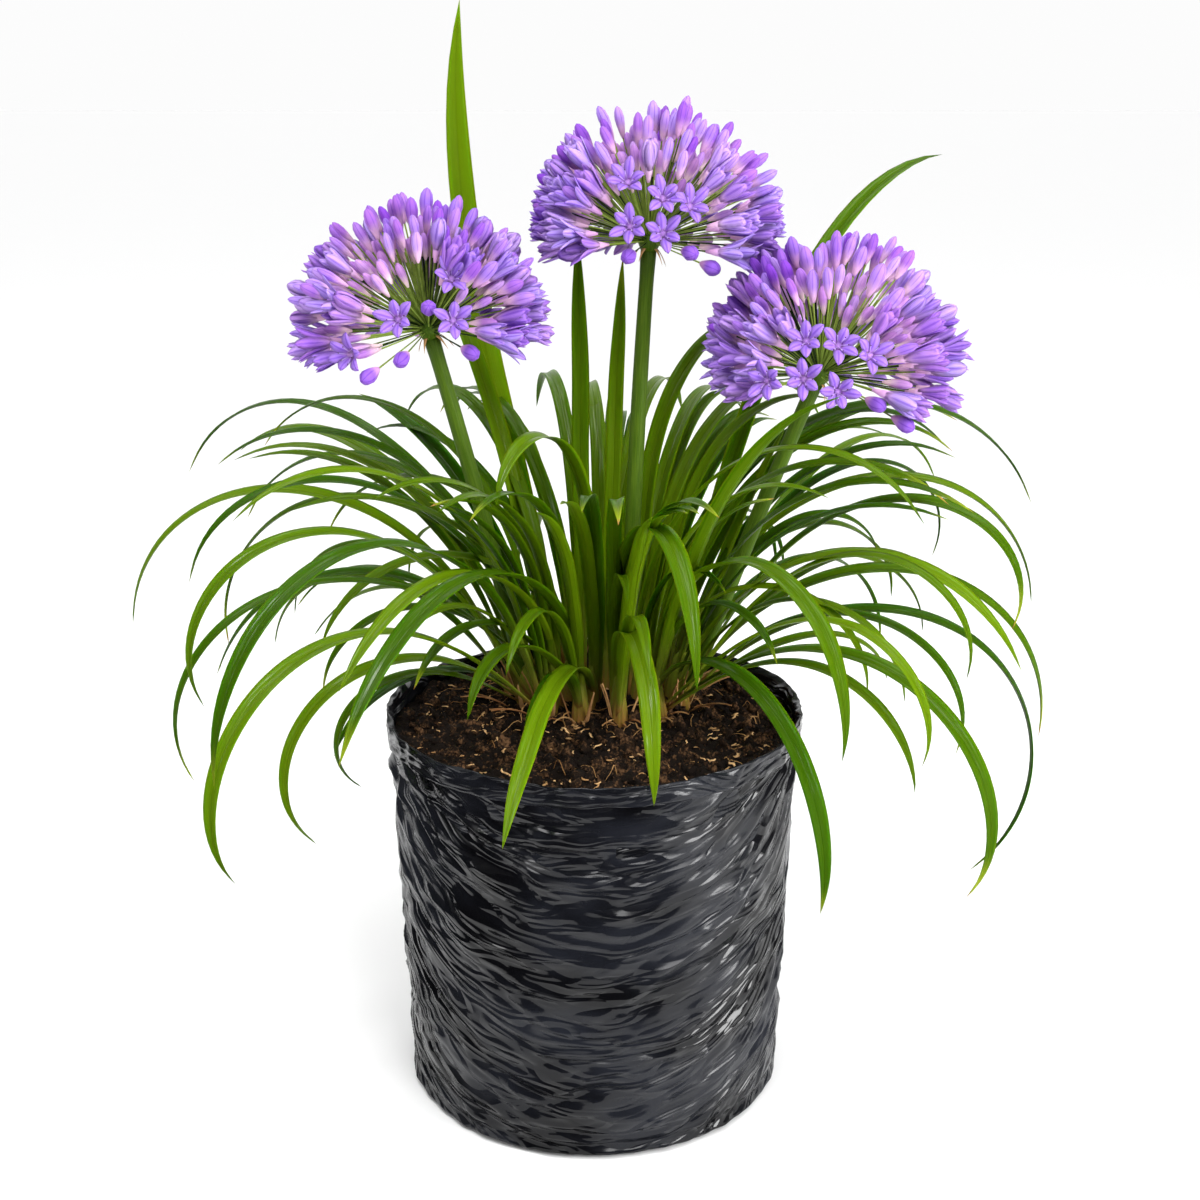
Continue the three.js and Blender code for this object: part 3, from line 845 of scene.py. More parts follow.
class Litter(Growth):
    """Strews shapes over a surface where its cover value is 1."""

    def __init__(self) -> None:
        """Scatters, turns and sizes copies at random."""
        sizes = {name: float for name in ("Density", "Least", "Most", "Tumble")}
        super().__init__("litter", Shapes=Collection, Seed=int, Finish=Material, **sizes)
        graph, body, seed = self.graph, self.given("Geometry"), self.given("Seed")
        density = Value(graph, self.given("Density")) * self.named("cover")
        spread = graph.link("GeometryNodeDistributePointsOnFaces", Mesh=body, Density=density, Seed=seed)
        tumble = Value(graph, self.given("Tumble"))
        lean = [Value(graph, self.draw(-1.0, 1.0, offset=n)) * tumble for n in (1, 2)]
        angles = graph.vector(*lean, self.draw(0.0, 2 * pi, offset=3))
        turn = graph.link("FunctionNodeEulerToRotation", Euler=angles)
        size = self.draw(self.given("Least"), self.given("Most"), offset=5)
        copies = self.copies(spread, self.draw(0, 99, "INT", 4), turn, size)
        each = {"data_type": "FLOAT", "domain": "INSTANCE"}
        toned = {"Geometry": copies, "Name": "tone", "Value": self.draw(0.0, 1.0, offset=6)}
        self.finish(graph.link("GeometryNodeStoreNamedAttribute", each, **toned))


@dataclass
class Shapes:
    """Shapes that a tree copies: a hidden collection, in the order of the shapes' names."""

    name: str

    def __post_init__(self) -> None:
        """Makes the collection."""
        self.collection = bpy.data.collections.new(self.name)

    def add(self, shape: Object) -> None:
        """Takes a shape out of the scene and into the collection."""
        bpy.context.scene.collection.objects.unlink(shape)
        self.collection.objects.link(shape)

    def discard(self) -> None:
        """Deletes the shapes."""
        for shape in list(self.collection.objects):
            bpy.data.objects.remove(shape)
        bpy.data.collections.remove(self.collection)


@dataclass
class Wires:
    """Runs of points that are swept into stems, each with a girth at every point."""

    points: list[Vector] = field(default_factory=list)
    edges: list[tuple[int, int]] = field(default_factory=list)
    girths: list[float] = field(default_factory=list)
    tones: list[float] = field(default_factory=list)

    def run(self, points: Sequence[Vector], girths: Sequence[float], tone: float) -> None:
        """Adds one run of points.

        Args:
            points: The points, in metres.
            girths: The radius at each, as a share of the sweep's.
            tone: The tone of the whole run.
        """
        first = len(self.points)
        self.points += points
        self.girths += girths
        self.tones += [tone] * len(points)
        self.edges += [(i, i + 1) for i in range(first, len(self.points) - 1)]

    def source(self, name: str) -> Object:
        """The wire mesh that a Sweep takes.

        Args:
            name: Its name.

        Returns:
            The object.
        """
        mesh = bpy.data.meshes.new(name)
        mesh.from_pydata([tuple(p) for p in self.points], self.edges, [])
        note(mesh, "girth", self.girths)
        note(mesh, "tone", self.tones)
        return stand(name, mesh)


# ---- Planter bag ----


class Part(Enum):
    """The stretches of the bag's outline, which are crumpled in different ways."""

    BASE, WALL, HEM, CUFF, RIM, INSIDE, LINING = range(7)


Row = tuple[float, float, Part]


@dataclass(frozen=True)
class Pleat:
    """A family of folds: how tall and how deep one is, in millimetres, and its sense.

    The sense is 1 where folds sag towards the front, and less or negative for ones that cross them.
    """

    tall: float
    deep: float
    sense: float = 1


@dataclass(frozen=True)
class PlanterBag:
    """A bag of thin black film with its rim turned over, in millimetres."""

    height: float = 242
    top_radius: float = 125
    foot_radius: float = 116.5
    edge: float = 9  # radius of the rounded foot
    edge_rows: int = 8
    wall: float = 1.5
    cuff: float = 13
    cuff_rows: int = 13
    cuff_proud: float = 1.2
    rim_wave: float = 1.4
    rim_drop: float = 0.5
    rim_half: float = 0.45
    seam: float = 3.5  # how high the welded seam round the foot lies
    seam_proud: float = 2.4
    seam_tall: float = 1.7
    groove_up: float = 6
    groove_tall: float = 2.6
    groove_deep: float = 0.55
    soil_top: float = 230
    swag: float = 36  # how much higher a fold is at the side than at the front, for a radian squared
    stray: float = 0.5  # how far round, in radians, the folds' highest points wander
    stray_tall: float = 60
    blunt: float = 0.2  # how softly the folds turn over at the sides
    drift_wide: float = 62  # how wide the swells are that shift the folds, and those that vary their depth
    wander_wide: float = 30
    run_wide: float = 45
    along_pleats: tuple[Pleat, ...] = (Pleat(26, 1.5), Pleat(14, 0.8))
    cross_pleats: tuple[Pleat, ...] = (Pleat(21, 1, -0.6), Pleat(24, 0.8, 1.9))
    gather_from: float = 140  # the folds grow deeper above this height
    gather_over: float = 70
    bulge: float = 1.3
    inset: float = 0.6
    around: int = 400
    wall_rows: int = 204

    def radius(self, z: float) -> float:
        """The wall's outer radius at a height."""
        return lerp(self.foot_radius, self.top_radius, z / self.height)

    def fold(self, angle: float, z: float, sense: float = 1) -> float:
        """Finds the fold that passes a point of the wall.

        Args:
            angle: Where round the bag.
            z: The height.
            sense: As a Pleat's.

        Returns:
            The fold's height at the front or back of the bag.
        """
        wander = rough(cos(angle), 1.0, z / self.stray_tall) * cos(angle) ** 4
        away = sin(angle + self.stray * wander)
        side = acos(min(1.0, hypot(away, self.blunt) / hypot(1, self.blunt)))
        return z - sense * self.swag * side * side

    def crease(self, angle: float, z: float, part: Part) -> float:
        """The height that the fine creases follow: along the wall's folds, and along the rim on the cuff."""
        at_rim = part in (Part.HEM, Part.CUFF, Part.RIM, Part.INSIDE)
        return 1.3 * z + 16 * rough_round(angle, 3, 3) if at_rim else self.fold(angle, z)

    def pleats(self, angle: float, z: float, pleat: Pleat) -> float:
        """Flat-sided folds in lens-shaped runs.

        Args:
            angle: Where round the bag.
            z: The height.
            pleat: The family of folds.

        Returns:
            How far out the film is, from minus the folds' depth in a valley to the depth on a ridge.
        """
        x, y = self.radius(z) * cos(angle), self.radius(z) * sin(angle)
        fold, tall = self.fold(angle, z, pleat.sense), pleat.tall
        drift = rough(x / self.drift_wide, y / self.drift_wide, fold / (2.6 * tall) + tall)
        wander = rough(x / self.wander_wide, y / self.wander_wide, fold / (1.3 * tall) + 3 * tall)
        run = rough(x / self.run_wide, y / self.run_wide, fold / (2 * tall) - tall)
        depth = smooth(1.6 * run + 0.65)
        zigzag = 4 * abs((fold / tall + 1.4 * drift + 0.3 * wander) % 1 - 0.5) - 1
        return pleat.deep * (depth * zigzag)

    def crumple(self, angle: float, z: float) -> float:
        """Adds the folds up, with those that cross them mostly at the sides.

        Args:
            angle: Where round the bag.
            z: The height.

        Returns:
            How far the film stands out.
        """
        sides = 1 - abs(sin(angle)) ** 1.5
        broad = self.bulge * rough_round(angle, 2.4, z / 34)
        gather = 1 + 0.7 * smooth((z - self.gather_from) / self.gather_over)
        folds = sum(self.pleats(angle, z, pleat) for pleat in self.along_pleats)
        crossing = sum(self.pleats(angle, z, pleat) for pleat in self.cross_pleats)
        return broad + gather * folds + (0.1 + 0.7 * sides) * crossing - self.inset

    def foot_seam(self, angle: float, z: float) -> float:
        """Shapes the welded seam round the foot: a lip, with a groove above it.

        Args:
            angle: Where round the bag.
            z: The height.

        Returns:
            How far it stands out.
        """
        up = z - self.seam - 1.4 * rough_round(angle, 4, 41)
        lip = (1 + 0.5 * rough_round(angle, 10, 43)) * exp(-((up / self.seam_tall) ** 2))
        groove = self.groove_deep * exp(-(((up - self.groove_up) / self.groove_tall) ** 2))
        return self.seam_proud * (lip - groove)

    def rise(self, angle: float, z: float) -> float:
        """Waves the rim up and down.

        Args:
            angle: Where round the bag.
            z: The height.

        Returns:
            How far the film is lifted, which fades down the cuff.
        """
        wave = 0.6 * sin(2 * angle + 0.7) + 0.4 * sin(5 * angle)
        wave += 1.1 * rough_round(angle, 5, 7)
        wave += 0.3 * rough_round(angle, 12, 9)
        return wave * self.rim_wave * smooth((z - self.height + self.cuff) / self.cuff)

    def cuff_shape(self, angle: float, z: float) -> float:
        """Shapes the turned-over band: a loose hem below, pleated across.

        Args:
            angle: Where round the bag.
            z: The height.

        Returns:
            How far it stands out.
        """
        hem = rough_round(angle, 5, z / 30 + 11)
        pleats = abs(rough_round(angle, 9, z / 14 + 31))
        folds = abs(rough_round(angle, 7, z / 3.4 + 51))
        return self.cuff_proud + 1.1 * hem - 1.8 * pleats - 1.2 * folds + 0.8

    def profile(self) -> list[Row]:
        """Draws the outline from the underside's middle over the rim to the floor inside.

        Returns:
            The radius, the height and the part of each row of points.
        """
        foot, rim = self.height - self.cuff, self.top_radius
        rows: list[Row] = [(r, 0, Part.BASE) for r in (20, 70, self.foot_radius - self.edge)]
        for share in shares(self.edge_rows)[1:]:
            turn = pi / 2 * share
            radius = self.foot_radius - self.edge * (1 - sin(turn))
            rows.append((radius, self.edge * (1 - cos(turn)), Part.WALL))
        heights = [lerp(self.edge, foot, share) for share in shares(self.wall_rows)[1:]]
        rows += [(self.radius(z), z, Part.WALL) for z in heights]
        rows.append((self.radius(foot) - 0.4, foot + 0.3, Part.HEM))
        band = np.linspace(foot + 0.1, self.height - self.rim_drop, self.cuff_rows)
        rows += [(rim, z, Part.CUFF) for z in band]
        rows.append((rim - self.rim_half, self.height, Part.RIM))
        rows.append((rim - 2 * self.rim_half, self.height - self.rim_drop, Part.RIM))
        inside = [*(self.height - drop for drop in (2, 5, 8)), self.soil_top, self.soil_top - 4]
        rows += [(rim - self.wall - 0.4, z, Part.INSIDE) for z in inside]
        rows.append((self.foot_radius - self.wall - 2.5, self.edge + 2, Part.LINING))
        return rows + [(r, self.wall, Part.LINING) for r in (90, 20)]

    def placed(self, angle: float, radius: float, z: float, part: Part) -> Point:
        """Places a point of the outline once the film is crumpled.

        Args:
            angle: Where round the bag.
            radius: The outline's radius.
            z: Its height.
            part: Its part.

        Returns:
            The point, in metres.
        """
        if part is Part.WALL:
            below_cuff = smooth((self.height - self.cuff - z) / 10)
            ease = smooth((z + 3) / 22) * (0.35 + 0.65 * below_cuff)
            radius += ease * self.crumple(angle, z) + self.foot_seam(angle, z)
        elif part in (Part.CUFF, Part.RIM):
            radius += self.cuff_shape(angle, z)
        elif part is Part.INSIDE:
            radius += 0.8 * self.cuff_shape(angle, z) - 1.6
        z += self.rise(angle, z)
        return radius * cos(angle) * MM, radius * sin(angle) * MM, z * MM

    def build(self, film: Material) -> None:
        """Makes the bag and settles it.

        Args:
            film: Its material.
        """
        skin, turns, profile = Skin(), spokes(self.around), self.profile()
        rings = [[self.placed(a, r, z, part) for a in turns] for r, z, part in profile]
        folds = [[self.crease(a, z, part) * MM for a in turns] for _, z, part in profile]
        heights = [z / self.height for _, z, _ in profile]
        skin.loft(np.array(rings), along=heights, fold=np.array(folds).ravel())
        settle(skin.piece("film_bag", film), Slot.FILM, "planter_bag")


# ---- Soil ----


@dataclass(frozen=True)
class Strewn:
    """One kind of loose matter: how many lie on a square metre, their least and most size, their tumble."""

    name: str
    density: float
    least: float
    most: float
    tumble: float


@dataclass(frozen=True)
class SoilBed:
    """The bag's fill, with crumbs, chips and roots on it, in millimetres."""

    top: float = 230
    radius: float = 122.2
    floor: float = 3
    mound: float = 4
    lump: float = 1.4
    clump_x: float = 5
    clump_y: float = 38
    clump_half_width: float = 62
    clump_half_depth: float = 46
    bare: float = 5  # how far from the bag loose pieces stay
    around: int = 280
    rows: int = 84
    crumble: Pairs = ((14, 4.5), (6, 2.6), (2.8, 1.5))  # how wide and how high clods, lumps and grains are
    clods: Strewn = Strewn("clods", 9000.0, 1.2, 4.4, 3.0)
    crumbs: Strewn = Strewn("crumbs", 80000.0, 0.5, 1.6, 3.0)
    chips: Strewn = Strewn("wood_chips", 5600.0, 2.0, 6.2, 0.5)
    sliver_kinds: int = 4
    sliver_thick: float = 0.06
    clump_roots: int = 70
    surface_roots: int = 36
    root_steps: int = 11

    def surface(self, x: float, y: float) -> float:
        """Finds the height of the soil at a point.

        Args:
            x: The point's x.
            y: Its y.

        Returns:
            The height: a low mound at the clump, with lumps, clods and grains.
        """
        lumps = sin(0.11 * x + 1) * sin(0.13 * y) + 0.6 * sin(0.23 * x - 0.19 * y)
        away = hypot((x - self.clump_x) / 2, y - self.clump_y) / self.radius
        salts = (5, 9, 13)
        clods, crumbs, grains = (
            high * rough(x / wide, y / wide, salt) for (wide, high), salt in zip(self.crumble, salts)
        )
        mound = self.mound * smooth(1 - 1.4 * away)
        return self.top + self.lump * lumps + mound + (abs(clods) + crumbs) + grains - 1.2

    def ground(self, soil: Material) -> Object:
        """Makes the body of the soil: a closed skin whose top is broken into crumbs.

        Args:
            soil: Its material.

        Returns:
            The body, with a cover value where loose pieces may lie.
        """
        low = self.radius - 10
        sides = ((low - 8, self.floor), (low, self.floor + 8), (self.radius - 1.5, self.top - 12))
        rings = [level_ring(r, z, self.around) for r, z in sides]
        reach = [self.radius * i / self.rows for i in range(self.rows, 0, -1)]
        for r in reach:
            rings.append([(x, y, self.surface(x, y)) for x, y, _ in level_ring(r, 0, self.around)])
        cover = np.zeros((len(rings), self.around))
        cover[len(sides) :] = np.clip((self.radius - self.bare - np.array(reach)) / 3, 0, 1)[:, None]
        skin = Skin()
        middle = (0.0, 0.0, self.surface(0, 0) * MM)
        skin.loft(np.array(rings) * MM, tip=middle, cover=np.append(cover.ravel(), 1.0))
        return skin.piece("soil_bed", soil)

    def lumps(self, subdivisions: int, spread: float, count: int) -> Shapes:
        """Makes rough lumps one millimetre in radius.

        Args:
            subdivisions: How finely each is split.
            spread: How uneven they are.
            count: How many there are.

        Returns:
            The shapes.
        """
        shapes = Shapes(f"crumbs_{subdivisions}")
        for n in range(count):
            lump = bmesh.new()
            bmesh.ops.create_icosphere(lump, subdivisions=subdivisions, radius=MM)
            for vertex in lump.verts:
                at = vertex.co / MM
                vertex.co *= 1 + spread * noise.noise(at * 1.1 + Vector((7 * n, 3, 0)))
                vertex.co.z *= 0.75
            mesh = bpy.data.meshes.new(f"crumb_{n}")
            lump.to_mesh(mesh)
            lump.free()
            shapes.add(stand(mesh.name, mesh))
        return shapes

    def slivers(self) -> Shapes:
        """Makes flat, bent slivers of wood, one millimetre long.

        Returns:
            The shapes.
        """
        shapes, thick = Shapes("chips"), self.sliver_thick
        for n in range(self.sliver_kinds):
            skin, rings = Skin(), []
            for i, share in enumerate(shares(3)):
                t = share - 0.5
                half = lerp(0.16, 0.08, abs(2 * t)) * (1 + 0.3 * even(n, i))
                bend = 0.3 + 0.22 * (even(n, 5) - 0.3) * (1 - 4 * t * t)
                x = 0.1 * sin(7 * t + n)
                ring = [(x + half, t, bend), (x, t, bend + thick), (x - half, t, bend), (x, t, bend - thick)]
                rings.append(ring)
            skin.loft(np.array(rings)[:, ::-1] * MM, [0, 0.3, 0.6, 0.9], [0, 0.3, 0.6, 1])
            shapes.add(skin.piece(f"chip_{n}"))
        return shapes

    def strew(self, ground: Object, tools: "Tools", finishes: "Finishes") -> None:
        """Scatters clods, crumbs and chips over the ground, each kind one piece.

        Args:
            ground: The body of the soil.
            tools: The geometry trees.
            finishes: The materials.
        """
        kinds = (
            (self.clods, self.lumps(2, 1.5, 6), finishes.soil),
            (self.crumbs, self.lumps(1, 0.8, 4), finishes.soil),
            (self.chips, self.slivers(), finishes.wood),
        )
        for seed, (kind, shapes, finish) in enumerate(kinds, start=SEED):
            source = stand("source", ground.data.copy())
            sizes = {"Density": kind.density, "Least": kind.least, "Most": kind.most, "Tumble": kind.tumble}
            given = {"Shapes": shapes.collection, "Seed": seed, "Finish": finish}
            settle(tools.litter.grow(source, kind.name, **sizes, **given), Slot.SOIL)
            shapes.discard()

    def roots(self, sweep: Sweep, root: Material) -> None:
        """Lays fine roots round the clump, and shorter ones all over the soil.

        Args:
            sweep: The tree that makes stems.
            root: Their material.
        """
        draw, wires = random.Random(SEED), Wires()
        for n in range(self.clump_roots):
            angle = 2 * pi * even(n, 2)
            spread = 0.5 + 0.6 * draw.random()
            x = self.clump_x + self.clump_half_width * spread * cos(angle)
            y = self.clump_y + self.clump_half_depth * spread * sin(angle)
            heading = angle + draw.uniform(-1.4, 1.4)
            self._wander(wires, draw, Vector((x, y, 0)), heading, draw.uniform(14, 48), 1.0)
        for n in range(self.surface_roots):
            angle, reach = 2 * pi * even(n, 5), self.radius * sqrt(0.08 + 0.78 * even(n, 6))
            start = Vector((reach * cos(angle), reach * sin(angle), 0))
            self._wander(wires, draw, start, draw.uniform(0, 6.3), draw.uniform(6, 18), 0.7)
        piece = sweep.grow(wires.source("roots"), "roots", Radius=MM, Sides=5, Finish=root)
        settle(piece, Slot.SOIL)

    def _wander(
        self, wires: Wires, draw: random.Random, start: Vector, heading: float, length: float, thick: float
    ) -> None:
        """Adds one root that creeps over the soil, arching off it here and there.

        Args:
            wires: What it is added to.
            draw: Where its random numbers come from.
            start: Where it starts.
            heading: The way it sets out, in radians.
            length: Its length.
            thick: How thick it is, as a share.
        """
        points, girths = [], []
        at, girth = start.copy(), thick * draw.uniform(0.28, 0.6)
        hop = draw.uniform(0, 7) * (draw.random() < 0.5)
        for share in shares(self.root_steps):
            if hypot(at.x, at.y) > self.radius - 4:
                break
            z = self.surface(at.x, at.y) + 0.5 + hop * sin(pi * share)
            points.append(Vector((at.x, at.y, z)) * MM)
            girths.append(girth * (1 - 0.6 * share))
            heading += draw.uniform(-0.5, 0.5)
            at += level(heading) * length / self.root_steps
        if len(points) > 2:
            wires.run(points, girths, draw.random())

    def build(self, tools: "Tools", finishes: "Finishes") -> None:
        """Makes the soil with all that lies on it, and settles it.

        Args:
            tools: The geometry trees.
            finishes: The materials.
        """
        ground = self.ground(finishes.soil)
        self.strew(ground, tools, finishes)
        self.roots(tools.sweep, finishes.root)
        settle(ground, Slot.SOIL, "soil")


# ---- Leaves ----


@dataclass(frozen=True)
class Leaf:
    """A strap leaf: its heading, rise and turn in degrees, its length and width in millimetres.

    It sets out at its rise above the level, and has bent down by its turn at its tip. The higher the
    lateness, the nearer the tip it bends. Crown 2 is a shoot's inner one.
    """

    heading: float
    rise: float
    length: float
    turn: float
    lateness: float
    width: float
    crown: int = 1


@dataclass(frozen=True)
class Shoot:
    """A leafy shoot: the way it faces round the clump, its leaves' spread, and those listed one by one."""

    facing: float
    spread: tuple[float, float]
    placed: tuple[Leaf, ...]
    inner_crown: bool = False


SHOOTS = (
    Shoot(12, (3, 17), (
        Leaf(6, 75, 350, 160, 1.5, 11), Leaf(3, 60, 330, 155, 1.25, 12), Leaf(4, 46, 385, 185, 1.25, 12),
        Leaf(17, 50, 220, 105, 2, 8), Leaf(16, 68, 210, 150, 2.5, 8), Leaf(9, 30, 150, 110, 2.5, 8),
        Leaf(14, 71, 180, 8, 1.5, 12),
    )),
    Shoot(31, (18, 44), (
        Leaf(18, 90, 400, 155, 1.25, 10), Leaf(19, 88, 245, 105, 2.5, 11),
        Leaf(25, 74, 310, 105, 1.75, 10), Leaf(20, 65, 300, 180, 2.5, 8),
        Leaf(22, 70, 240, 160, 1.75, 10), Leaf(43, 45, 275, 130, 1.5, 8), Leaf(42, 50, 330, 110, 2.5, 8),
        Leaf(42, 70, 435, 65, 2.75, 13),
    )),
    Shoot(57, (46, 69), (Leaf(46, 90, 310, 145, 3, 12),)),
    Shoot(83, (71, 95), (Leaf(80, 84, 272, 14, 1.5, 10, 2),), True),
    Shoot(109, (97, 121), (
        Leaf(98, 88, 285, 4, 1, 11), Leaf(120, 60, 455, -45, 3, 18),
    )),
    Shoot(137, (123, 151), (
        Leaf(150, 65, 390, 125, 1.75, 9), Leaf(144, 54, 330, 90, 2, 12),
        Leaf(148, 85, 290, 145, 1.25, 9, 2), Leaf(140, 70, 250, 60, 1.5, 12),
        Leaf(143, 48, 235, 100, 1, 8), Leaf(138, 32, 270, 80, 1.5, 7), Leaf(128, 76, 300, 30, 1.5, 12),
    ), True),
    Shoot(167, (154, 177), (
        Leaf(176, 70, 355, 155, 1.5, 11), Leaf(170, 86, 340, 184, 1.25, 9),
        Leaf(175, 75, 265, 145, 1, 10), Leaf(164, 53, 215, 135, 1.75, 8), Leaf(160, 83, 305, 146, 1.5, 9),
    )),
    Shoot(207, (198, 215), (
        Leaf(199, 64, 325, 140, 2.25, 10, 2), Leaf(215, 60, 340, 177, 2.25, 10),
        Leaf(206, 48, 350, 165, 2, 9, 2), Leaf(209, 44, 250, 178, 1.5, 11), Leaf(205, 34, 178, 178, 2, 9),
        Leaf(201, 52, 150, 120, 1, 9), Leaf(200, 88, 240, 160, 1.25, 9, 2),
        Leaf(203, 70, 190, 152, 1.5, 9),
    ), True),
    Shoot(231, (220, 242), (
        Leaf(232, 71, 378, 161, 1.5, 12), Leaf(228, 44, 350, 168, 2, 11),
        Leaf(224, 86, 155, 149, 1.25, 10), Leaf(238, 88, 275, 134, 1, 11),
    )),
    Shoot(255, (243, 267), (
        Leaf(243, 80, 336, 134, 1, 13, 2), Leaf(258, 82, 245, 120, 0.5, 11, 2),
        Leaf(245, 44, 180, 110, 2.75, 11, 2), Leaf(256, 70, 150, 130, 1, 11),
        Leaf(244, 94, 275, 164, 2.5, 12, 2),
    ), True),
    Shoot(281, (269, 293), (
        Leaf(278, 90, 220, 180, 1, 12), Leaf(284, 92, 295, 180, 1.5, 13),
    )),
    Shoot(307, (295, 319), (
        Leaf(301, 78, 310, 178, 1.5, 13), Leaf(304, 78, 262, 178, 0.8, 12), Leaf(316, 40, 225, 122, 2, 9),
        Leaf(319, 42, 330, 164, 1.75, 11), Leaf(312, 44, 275, 154, 2.75, 8),
        Leaf(298, 70, 300, 50, 1.75, 12),
    )),
    Shoot(332, (322, 338), (
        Leaf(338, 63, 320, 174, 2.5, 10), Leaf(327, 68, 295, 130, 1.5, 12),
        Leaf(324, 58, 280, 160, 2.5, 9), Leaf(335, 54, 250, 160, 1.75, 8),
    ), True),
)


@dataclass(frozen=True)
class LeafClump:
    """The clump of leafy shoots: where its crowns stand and how its blades are shaped, in millimetres."""

    x: float = 5
    y: float = 38
    half_width: float = 52
    half_depth: float = 35
    inner: float = 0.45  # where an inner crown stands, as a share of the way out
    floor: float = 217
    leaf_start: float = 236
    sheath_top: float = 262
    sheath_across: float = 5.6
    inner_across: float = 4.4
    sheath_points: int = 28
    sheath_rows: int = 12
    stack: float = 2.1  # from one leaf of a crown to the next
    fan: float = 3.6
    channel: float = 0.16
    keel: float = 0.8
    root_width: float = 0.45
    full_width_at: float = 0.32
    taper_from: float = 0.6
    tip_power: float = 3
    lean: float = 16  # how far a leaf to the side turns its upper face to the front, in degrees
    twist: float = 14
    sway: float = 0.9
    straight: float = 20  # a leaf that turns less than this, in degrees, is a young and bright one
    brightness: float = 0.55
    substeps: int = 8
    leaves_a_shoot: int = 10
    young_front: Pairs = ((74, 91), (160, 250), (50, 140))  # ranges of rise, length and turn
    young_back: Pairs = ((64, 88), (215, 330), (80, 165))
    young_width: tuple[float, float] = (7, 10)
    young_lateness: float = 1.75
    old_bases: int = 6
    base_steps: int = 9
    base_ranges: Pairs = ((38, 88), (16, 44), (-15, 80), (1.4, 4.2))  # a base's rise, length, turn and width
    section: Pairs = (
        (1.0, 0.5), (0.62, 1.0), (0.3, 1.0), (0.08, 1.0), (-0.08, 1.0), (-0.3, 1.0), (-0.62, 1.0),
        (-1.0, 0.5), (-0.6, 0.0), (-0.25, 0.0), (0.0, 0.0), (0.25, 0.0), (0.6, 0.0),
    )  # round a blade: share of the half width, and 1 on the upper face or 0 on the lower

    def crown(self, shoot: Shoot, number: int) -> Vector:
        """Finds the middle of a crown.

        Args:
            shoot: Its shoot.
            number: 1 for the outer crown, 2 for the inner one.

        Returns:
            The point its leaves spring from.
        """
        share, out = self.inner if number == 2 else 1, turned(shoot.facing)
        x, y = self.x + share * self.half_width * out.x, self.y + share * self.half_depth * out.y
        return Vector((x, y, self.leaf_start))

    def young(self, shoot: Shoot, n: int) -> Leaf:
        """Draws a younger leaf by rule, from the ranges of its side of the clump.

        Args:
            shoot: Its shoot.
            n: Its number among them.

        Returns:
            The leaf.
        """
        rise, length, turn = self.young_front if 215 < shoot.facing < 325 else self.young_back

        def draw(bounds: tuple[float, float], salt: float) -> float:
            """An even draw between two bounds."""
            return lerp(*bounds, even(n + 1, shoot.facing + salt))

        way = draw(shoot.spread, 0), draw(rise, 5), draw(length, 9), draw(turn, 14)
        crown = 2 if shoot.inner_crown and n % 2 else 1
        return Leaf(*way, self.young_lateness, draw(self.young_width, 21), crown)

    def leaves(self, shoot: Shoot) -> list[Leaf]:
        """All the leaves of a shoot."""
        missing = max(2, self.leaves_a_shoot - len(shoot.placed))
        return [*shoot.placed, *(self.young(shoot, n) for n in range(missing))]

    def root_place(self, leaf: Leaf, leaves: Sequence[Leaf]) -> float:
        """How far out of the crown's middle a leaf's root stands, with the flattest leaf outermost."""
        crown = sorted((one for one in leaves if one.crown == leaf.crown), key=lambda one: -one.rise)
        return self.stack * (crown.index(leaf) - (len(crown) - 1) / 2)

    def width(self, leaf: Leaf, share: float) -> float:
        """A blade's width at a share of its length: it tapers at both ends."""
        taper = max(0.0, (share - self.taper_from) / (1 - self.taper_from)) ** self.tip_power
        return leaf.width * lerp(self.root_width, 1, smooth(share / self.full_width_at)) * (1 - taper)

    def _section(self, at: Vector, along: Vector, side: Vector, width: float, salt: float) -> list[Vector]:
        """Draws the outline across a blade: channelled above and keeled below.

        Args:
            at: Its middle.
            along: The way the blade runs there.
            side: The way across it.
            width: How wide it is.
            salt: Where its ripple is read.

        Returns:
            The points round it.
        """
        half, face, points = width / 2, along.cross(side), []
        for x, upper in self.section:
            ripple = 0.25 * rough(salt, 2.0 * copysign(1, x), 4) * abs(x)
            lift = self.channel * width * abs(x) ** 1.25 + ripple
            drop = self.keel * (1 - 0.75 * abs(x)) * (1 - upper) + 0.12 * (upper == 0.5)
            points.append(at + side * (half * x) + face * (lift - drop))
        return points

    def _strap(self, skin: Skin, rings: Sequence[Sequence[Vector]], tip: Vector, **values: float) -> None:
        """Adds a strap over its sections, with a place across that runs over the blade, not round it."""
        across = [0.5 + 0.5 * x for x, _ in self.section]
        skin.loft(np.array(rings) * MM, across, tip=tuple(tip * MM), **values)

